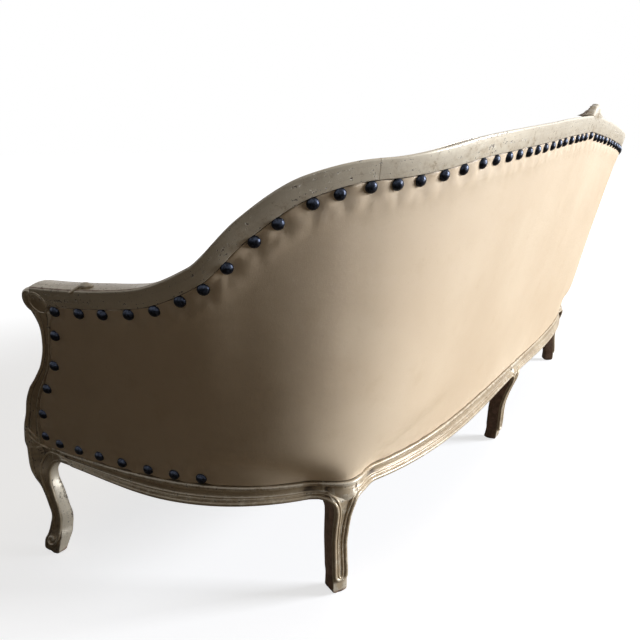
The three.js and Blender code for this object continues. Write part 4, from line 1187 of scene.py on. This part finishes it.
COLLAR_TRACES = (((-0.4325, 0.292), (-0.4265, 0.2846), (-0.4177, 0.2727), (-0.412, 0.2603)),
                 ((-0.431, 0.2765), (-0.4255, 0.2683), (-0.4188, 0.259), (-0.4087, 0.2489), (-0.39, 0.2467)),
                 ((-0.4182, 0.2464), (-0.4122, 0.2494), (-0.4069, 0.2501), (-0.3982, 0.247)))


def front_leg_box(height):
    up = height / LEATHER_FOOT
    reach = FRONT_KNEE - FRONT_SWING * read(FRONT_LEG_ROWS, up, 1)
    outer_x = SEAT_HALF_WIDTH + reach
    outer_y = FRONT_RAIL_Y - reach - 0.003 * smooth_share(height, 0.15, 0.24)
    return (outer_x, outer_y, outer_x - LEG_BLOCK * read(FRONT_LEG_ROWS, up, 2),
            outer_y + LEG_BLOCK * read(FRONT_LEG_ROWS, up, 3))


def knee_slant(height, share, front=False):
    """How far the knee has fallen back to the rails' faces, at a share of the way from its corner."""
    outer_x = front_leg_box(height)[0]
    under_post = max(share - 0.6, 0) / 0.3 if front else share / KNEE_CORNER
    near = between(share, min(under_post, 1), smooth_share(height, 0.15, 0.235))
    return max(outer_x - SEAT_HALF_WIDTH - 0.0015, 0) * smooth_share(height, 0.1, 0.235) * near


def front_leg():
    def outline_at(height):
        outer_x, outer_y, inner_x, inner_y = front_leg_box(height)
        sunk = FACE_SUNK * smooth_share(height, 0.004, 0.016)
        edge = FACE_EDGE
        deep, wide = inner_y - outer_y, outer_x - inner_x

        def on_side(along, depth, radius):
            return outer_x - knee_slant(height, along / deep) - depth, outer_y + along, radius

        def on_front(along, depth, radius):
            return outer_x - along, outer_y + knee_slant(height, along / wide, True) + depth, radius

        corners = [
            on_side(deep, 0.0008, 0.003), on_side(deep - edge, sunk, 0.002),
            on_side(deep * KNEE_CORNER, sunk * 0.5, 0.005), on_side(edge, sunk, 0.002),
            on_side(edge * 0.6, 0, 0.001), (outer_x, outer_y, 0.0034), on_front(edge * 0.6, 0, 0.001),
            on_front(edge, sunk, 0.002), on_front(wide * KNEE_CORNER, sunk * 0.5, 0.005),
            on_front(wide - edge, sunk, 0.002), on_front(wide, 0.0008, 0.003), (inner_x, inner_y, 0.006)]
        return [Vector((x, y, height)) for x, y in rounded(corners, 3)]
    bm = laid_out(stations(0, 0.008, 5)[:-1] + stations(0.008, LEATHER_FOOT - 0.0004, 110), outline_at)
    ease_sole(bm)
    mark_relief(bm)

    def bare_at(vert):
        outer_x, outer_y = front_leg_box(vert.co.z)[:2]
        inside = smooth_share(outer_x - vert.co.x, 0.003, 0.008)
        behind = smooth_share(vert.co.y - outer_y, 0.004, 0.01)
        return inside * behind * 0.3 + 0.5 * (1 - smooth_share(vert.co.z, 0.006, 0.024))

    mark(bm, "bare", bare_at)
    return bm


def side_skin(y, height, proud):
    """A place on the outer face of the left front leg, or of the post above it."""
    if height >= LEATHER_FOOT:
        front, rear = post_edges(height)
        return arm_skin(y, height, proud + post_flare(height) * max((rear - y) / (rear - front), 0))
    outer_x, outer_y, inner_x, inner_y = front_leg_box(height)
    share = min(max((y - outer_y) / (inner_y - outer_y), 0), 1)
    return Vector((outer_x - knee_slant(height, share) + proud, y, height))


def front_skin(y, height, proud):
    """The same place on the leg's front face, as far from its corner."""
    outer_x, outer_y, inner_x, inner_y = front_leg_box(min(height, LEATHER_FOOT))
    share = min((y - outer_y) / (outer_x - inner_x), 1)
    slant = knee_slant(min(height, LEATHER_FOOT), share, True)
    return Vector((outer_x - (y - outer_y), outer_y + slant - proud, height))


def front_leg_beads():
    """The rails' beads, led down both outer faces of the leg, and the short leaves of its collar."""
    runs = []
    near = angle_at(EDGE_TRACE[0][0] + 0.02, LEATHER_FOOT)
    for trace, radius, (out, down, *_) in zip((EDGE_TRACE, INNER_TRACE), (0.0036, 0.0022), RAIL_BEADS):
        beside = [wall_rail_bead(angle, out, down) for angle in stations(side_middle, near, 120)]
        before = front_runs(1, out, down, FRONT_LEG_X - 0.055)
        runs.append((evenly(beside + [side_skin(y, z, -TRACE_SUNK) for y, z in trace]), radius))
        runs.append((evenly(before + [front_skin(y, z, -TRACE_SUNK) for y, z in trace]), radius))
    for trace in COLLAR_TRACES:
        runs.append((evenly([side_skin(y, z, 0.0002) for y, z in trace], 0.001), COLLAR_BEAD, True))
    return beads(runs)


gilt_pair("leg_front_gilt", front_leg, "leg_front")
gilt_pair("front_leg_beads", front_leg_beads)


# Carved ornaments, pinned to the rails: a leafy shell on the middle of the crest, curled towards the front,
# and a bud with a short stem on top of each arm.
ORNAMENT_HEIGHT = 0.0255
ORNAMENT_HALF = 0.066
ORNAMENT_DEEP = 0.040
# Height above the rail and depth behind its face, as shares
ORNAMENT_ROWS = ((-0.7, -0.045), (-0.3, -0.06), (0.2, -0.055), (0.5, -0.01), (0.75, 0.05), (0.93, 0.14),
                 (1, 0.3), (0.98, 0.44), (0.88, 0.52), (0.76, 0.48), (0.66, 0.44), (0.56, 0.5), (0.5, 0.64),
                 (0.38, 0.72), (0.26, 0.7), (0.2, 0.78), (0.12, 0.9), (-0.1, 0.9))


def crest_ornament():
    seat = NAIL_DROP + CREST_FACE - 0.001

    def outline_at(side):
        angle = QUARTER - side * ORNAMENT_HALF / (SEAT_HALF_WIDTH + ARM_FLARE)
        lobes = 1 + 0.05 * math.cos(6 * math.pi * side)
        height = ORNAMENT_HEIGHT * (0.06 + 0.94 * (0.5 + 0.5 * math.cos(math.pi * side)) ** 0.85) * lobes
        outline = []
        for up, deep in rounded([(u, d, 0.03) for u, d in ORNAMENT_ROWS], 2):
            vein = 0.0013 * math.cos(22 * math.pi * side * (1 - 0.4 * up)) * smooth_share(deep, 0.35, 0.6)
            outline.append(lifted(angle, seat + height * up + vein * up, ORNAMENT_DEEP * deep + vein))
        return outline
    bm = timber(stations(-1, 1, 160), outline_at)
    # Painted shade: the shell's carved front, which faces the sofa's front, is coloured dark brown as if in
    # shadow.
    mark(bm, "bare", lambda vert: 0.75 * smooth_share(-vert.normal.y, -0.1, 0.3))
    return bm


gilt("crest_ornament_gilt", crest_ornament(), "crest_ornament")

BUD_ANGLE = math.radians(24.5)


def arm_bud():
    bm = bmesh.new()
    bmesh.ops.create_uvsphere(bm, u_segments=56, v_segments=28, radius=1)
    bmesh.ops.bisect_plane(bm, geom=bm.verts[:] + bm.edges[:] + bm.faces[:], plane_co=(0, 0, -0.1),
                           plane_no=(0, 0, -1), clear_outer=True)
    for vert in bm.verts:
        x, y, z = vert.co
        petals = 1 + 0.08 * math.cos(7 * math.atan2(y, x)) * (1 - z)
        neck = 1 - 0.34 * smooth_share(0.5 - z, 0, 0.5)
        angle = BUD_ANGLE + (0.002 + y * petals * neck * 0.014) / speed_at(BUD_ANGLE)
        seat = NAIL_DROP + rail_face(angle) - 0.001
        vert.co = lifted(angle, seat + z * 0.0135, 0.014 + x * petals * neck * 0.011)
    bmesh.ops.holes_fill(bm, edges=[edge for edge in bm.edges if edge.is_boundary], sides=0)
    bmesh.ops.recalc_face_normals(bm, faces=bm.faces)
    mark_relief(bm)
    stem = []
    for share in stations(0, 1, 24):
        angle = BUD_ANGLE + between(-0.0205, -0.004, share) / speed_at(BUD_ANGLE)
        lift = NAIL_DROP + rail_face(angle) + between(-0.0065, 0.006, share ** 1.4)
        stem.append(lifted(angle, lift, between(-0.0022, 0.010, share ** 2)))
    return joined(bm, beads([(stem[::-1], 0.0032, True)]))


gilt_pair("arm_bud_gilt", arm_bud, "arm_bud")


# Frame timbers, webbing and linings that the covers hide. They are the CAD solids as they stand, in raw
# beech, jute cloth and a black dust cover.
def beech_finish():
    finish, start, place = new_finish("beech_timber")
    grain = start.clouds(place, 34, 6, 0.6, (1, 1, 0.12))
    flecks = start.clouds(place, 300, 3, 0.6, (1, 1, 0.2))
    wood = grain.clipped(0.35, 0.7).over(colour(196, 160, 116), colour(158, 118, 76))
    wood = (flecks.clipped(0.58, 0.7) * 0.5).over(wood, colour(130, 92, 58))
    rough = grain * 0.2 + 0.6
    set_finish(start, {"Base Color": wood, "Roughness": rough}, grain + flecks * 0.3, 0.0005)
    return finish


def jute_finish():
    finish, start, place = new_finish("jute_cloth")
    threads = {"Vector": place, "Scale": 130.0, "Distortion": 1.2}
    warp, weft, rise = [start.add("ShaderNodeTexWave", {"bands_direction": axis}, threads) for axis in "XYZ"]
    slub = start.clouds(place, 90, 4, 0.6)
    weave = (warp + weft + rise) * 0.33
    cloth = (weave * 0.6 + slub * 0.5).clipped(0.3, 0.8).over(colour(104, 82, 50), colour(186, 158, 112))
    set_finish(start, {"Base Color": cloth, "Roughness": 0.92}, weave + slub * 0.5, 0.0008)
    return finish


def lining_finish():
    finish, start, place = new_finish("black_lining")
    fuzz = start.clouds(place, 420, 4, 0.7)
    folds = start.clouds(place, 6, 3, 0.5)
    cloth = fuzz.clipped(0.35, 0.7).over(colour(22, 21, 21), colour(46, 44, 43))
    set_finish(start, {"Base Color": cloth, "Roughness": 0.95}, fuzz * 0.3 + folds, 0.002)
    return finish


beech_timber, jute_cloth, black_lining = beech_finish(), jute_finish(), lining_finish()
carried = {
    beech_timber: ("upright", "stretcher", "block"),
    jute_cloth: ("webbing", "hessian"),
    black_lining: ("dust_cover",),
}
for finish, words in carried.items():
    for name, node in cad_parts.items():
        if any(word in name for word in words):
            node.data.materials.clear()
            node.data.materials.append(finish)



# Seat and inside covers. Stuffed pads of horsehair and wadding under the same leather: the seat is one
# tight, crowned squab, and the arms and the back are lined with pads that thin out towards the top rail.
PRESSURE = 3.0
SETTLING_FRAMES = 20


def settle(piece):
    """Applies a piece's modifiers to its mesh."""
    done = piece.evaluated_get(bpy.context.evaluated_depsgraph_get())
    mesh = bpy.data.meshes.new_from_object(done)
    piece.modifiers.clear()
    piece.data = mesh


def stuffed(node, voxel, cap):
    """A CAD pad, remeshed and blown up a little under its cover, by no more than the cap."""
    bm = bmesh.new()
    bm.from_mesh(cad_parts[node].data)
    bmesh.ops.remove_doubles(bm, verts=bm.verts, dist=1e-5)
    pad = new_object(f"{node}_cover", bm)
    bpy.context.view_layer.update()
    remesh = pad.modifiers.new("remesh", "REMESH")
    remesh.mode = "VOXEL"
    remesh.voxel_size = voxel
    remesh.use_smooth_shade = True
    settle(pad)
    before = [vert.co.copy() for vert in pad.data.vertices]
    cloth = pad.modifiers.new("cloth", "CLOTH")
    cloth.settings.use_pressure = True
    cloth.settings.uniform_pressure_force = PRESSURE
    cloth.settings.effector_weights.gravity = 0
    cloth.settings.quality = 4
    cloth.point_cache.frame_start = 1
    cloth.point_cache.frame_end = SETTLING_FRAMES
    for number in range(1, SETTLING_FRAMES + 1):
        scene.frame_set(number)
    settle(pad)
    scene.frame_set(1)
    for vert, start in zip(pad.data.vertices, before):
        move = vert.co - start
        if move.length > cap:
            vert.co = start + move.normalized() * cap
    return pad


for node, voxel, cap in (("seat_pad", 0.011, 0.008), ("inside_back_pad", 0.009, 0.006),
                         ("inside_arm_pad_left", 0.008, 0.006), ("inside_arm_pad_right", 0.008, 0.006)):
    pad = stuffed(node, voxel, cap)
    smoothing = pad.modifiers.new("smoothing", "SMOOTH")
    smoothing.factor = 0.5
    smoothing.iterations = 4
    settle(pad)
    set_surface(pad, tan_leather)
    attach(pad, "root")
    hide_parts(node)


# The studio. A pale matt floor under a large soft window behind the sofa's right side, a low one below it,
# and a weak warm light overhead. The floor and the world show white beyond the sofa's shadow.
bm = bmesh.new()
bmesh.ops.create_grid(bm, x_segments=1, y_segments=1, size=40)
floor = new_object("floor", bm)
finish, start, place = new_finish("pale_floor")
seen = start.add("ShaderNodeLightPath", None, None, out=0)
away = start.add("ShaderNodeVectorMath", {"operation": "LENGTH"}, {0: place}, out=1)
far = away.clipped(1.6, 3.6)
shade = seen.over((0.24, 0.2, 0.155, 1), (0.6, 0.6, 0.61, 1))
ground = start.add("ShaderNodeBsdfDiffuse", None, {"Color": shade})
glow = start.add("ShaderNodeEmission", None, {"Color": (1, 1, 1, 1), "Strength": seen * (far * 0.3 + 0.72)})
surface = start.add("ShaderNodeAddShader", None, {0: ground, 1: glow})
start.add("ShaderNodeOutputMaterial", None, {"Surface": surface})
floor.data.materials.append(finish)

world = bpy.data.worlds.new("studio")
world.use_nodes = True
world.node_tree.nodes.clear()
sky = Tone(world.node_tree)
seen, glossy, through = [sky.add("ShaderNodeLightPath", out=number) for number in (0, 3, 6)]
shown = seen.math("MAXIMUM", seen.math("MAXIMUM", seen, glossy), through)
backdrop = sky.add("ShaderNodeBackground", None, {"Color": (1, 1, 1, 1), "Strength": shown * 0.97 + 0.03})
sky.add("ShaderNodeOutputWorld", None, {"Surface": backdrop})
scene.world = world


def lamp(name, place, target, size, watts, tint):
    data = bpy.data.lights.new(name, "AREA")
    data.shape = "RECTANGLE"
    data.size, data.size_y = size
    data.energy = watts
    data.color = tint
    light = bpy.data.objects.new(name, data)
    light.location = place
    light.rotation_euler = (Vector(target) - Vector(place)).to_track_quat("-Z", "Y").to_euler()
    scene.collection.objects.link(light)


lamp("window", (-6.9, 10.6, 4.15), (0.1, 0.1, 0.4), (4.4, 2.6), 2270, (0.94, 0.97, 1.03))
lamp("low_window", (-6.0, 10.8, 0.28), (0.2, -0.2, 0.14), (6.0, 0.5), 870, (0.95, 0.98, 1.02))
lamp("overhead", (0.2, 0.4, 4.2), (0, 0, 0), (3.0, 3.0), 22, (1.0, 0.84, 0.62))

# The camera, at the photograph's place behind the sofa's left end.
camera = bpy.data.objects.new("camera", bpy.data.cameras.new("camera"))
camera.data.lens = 38.56
camera.data.sensor_width = 36
camera.matrix_world = Matrix((
    (-0.5166, -0.2152, 0.82874, 1.932),
    (0.8563, -0.1298, 0.50005, 0.789096),
    (0, 0.9679, 0.25128, 0.875),
    (0, 0, 0, 1),
))
scene.collection.objects.link(camera)
scene.camera = camera
scene.view_settings.view_transform = "Standard"
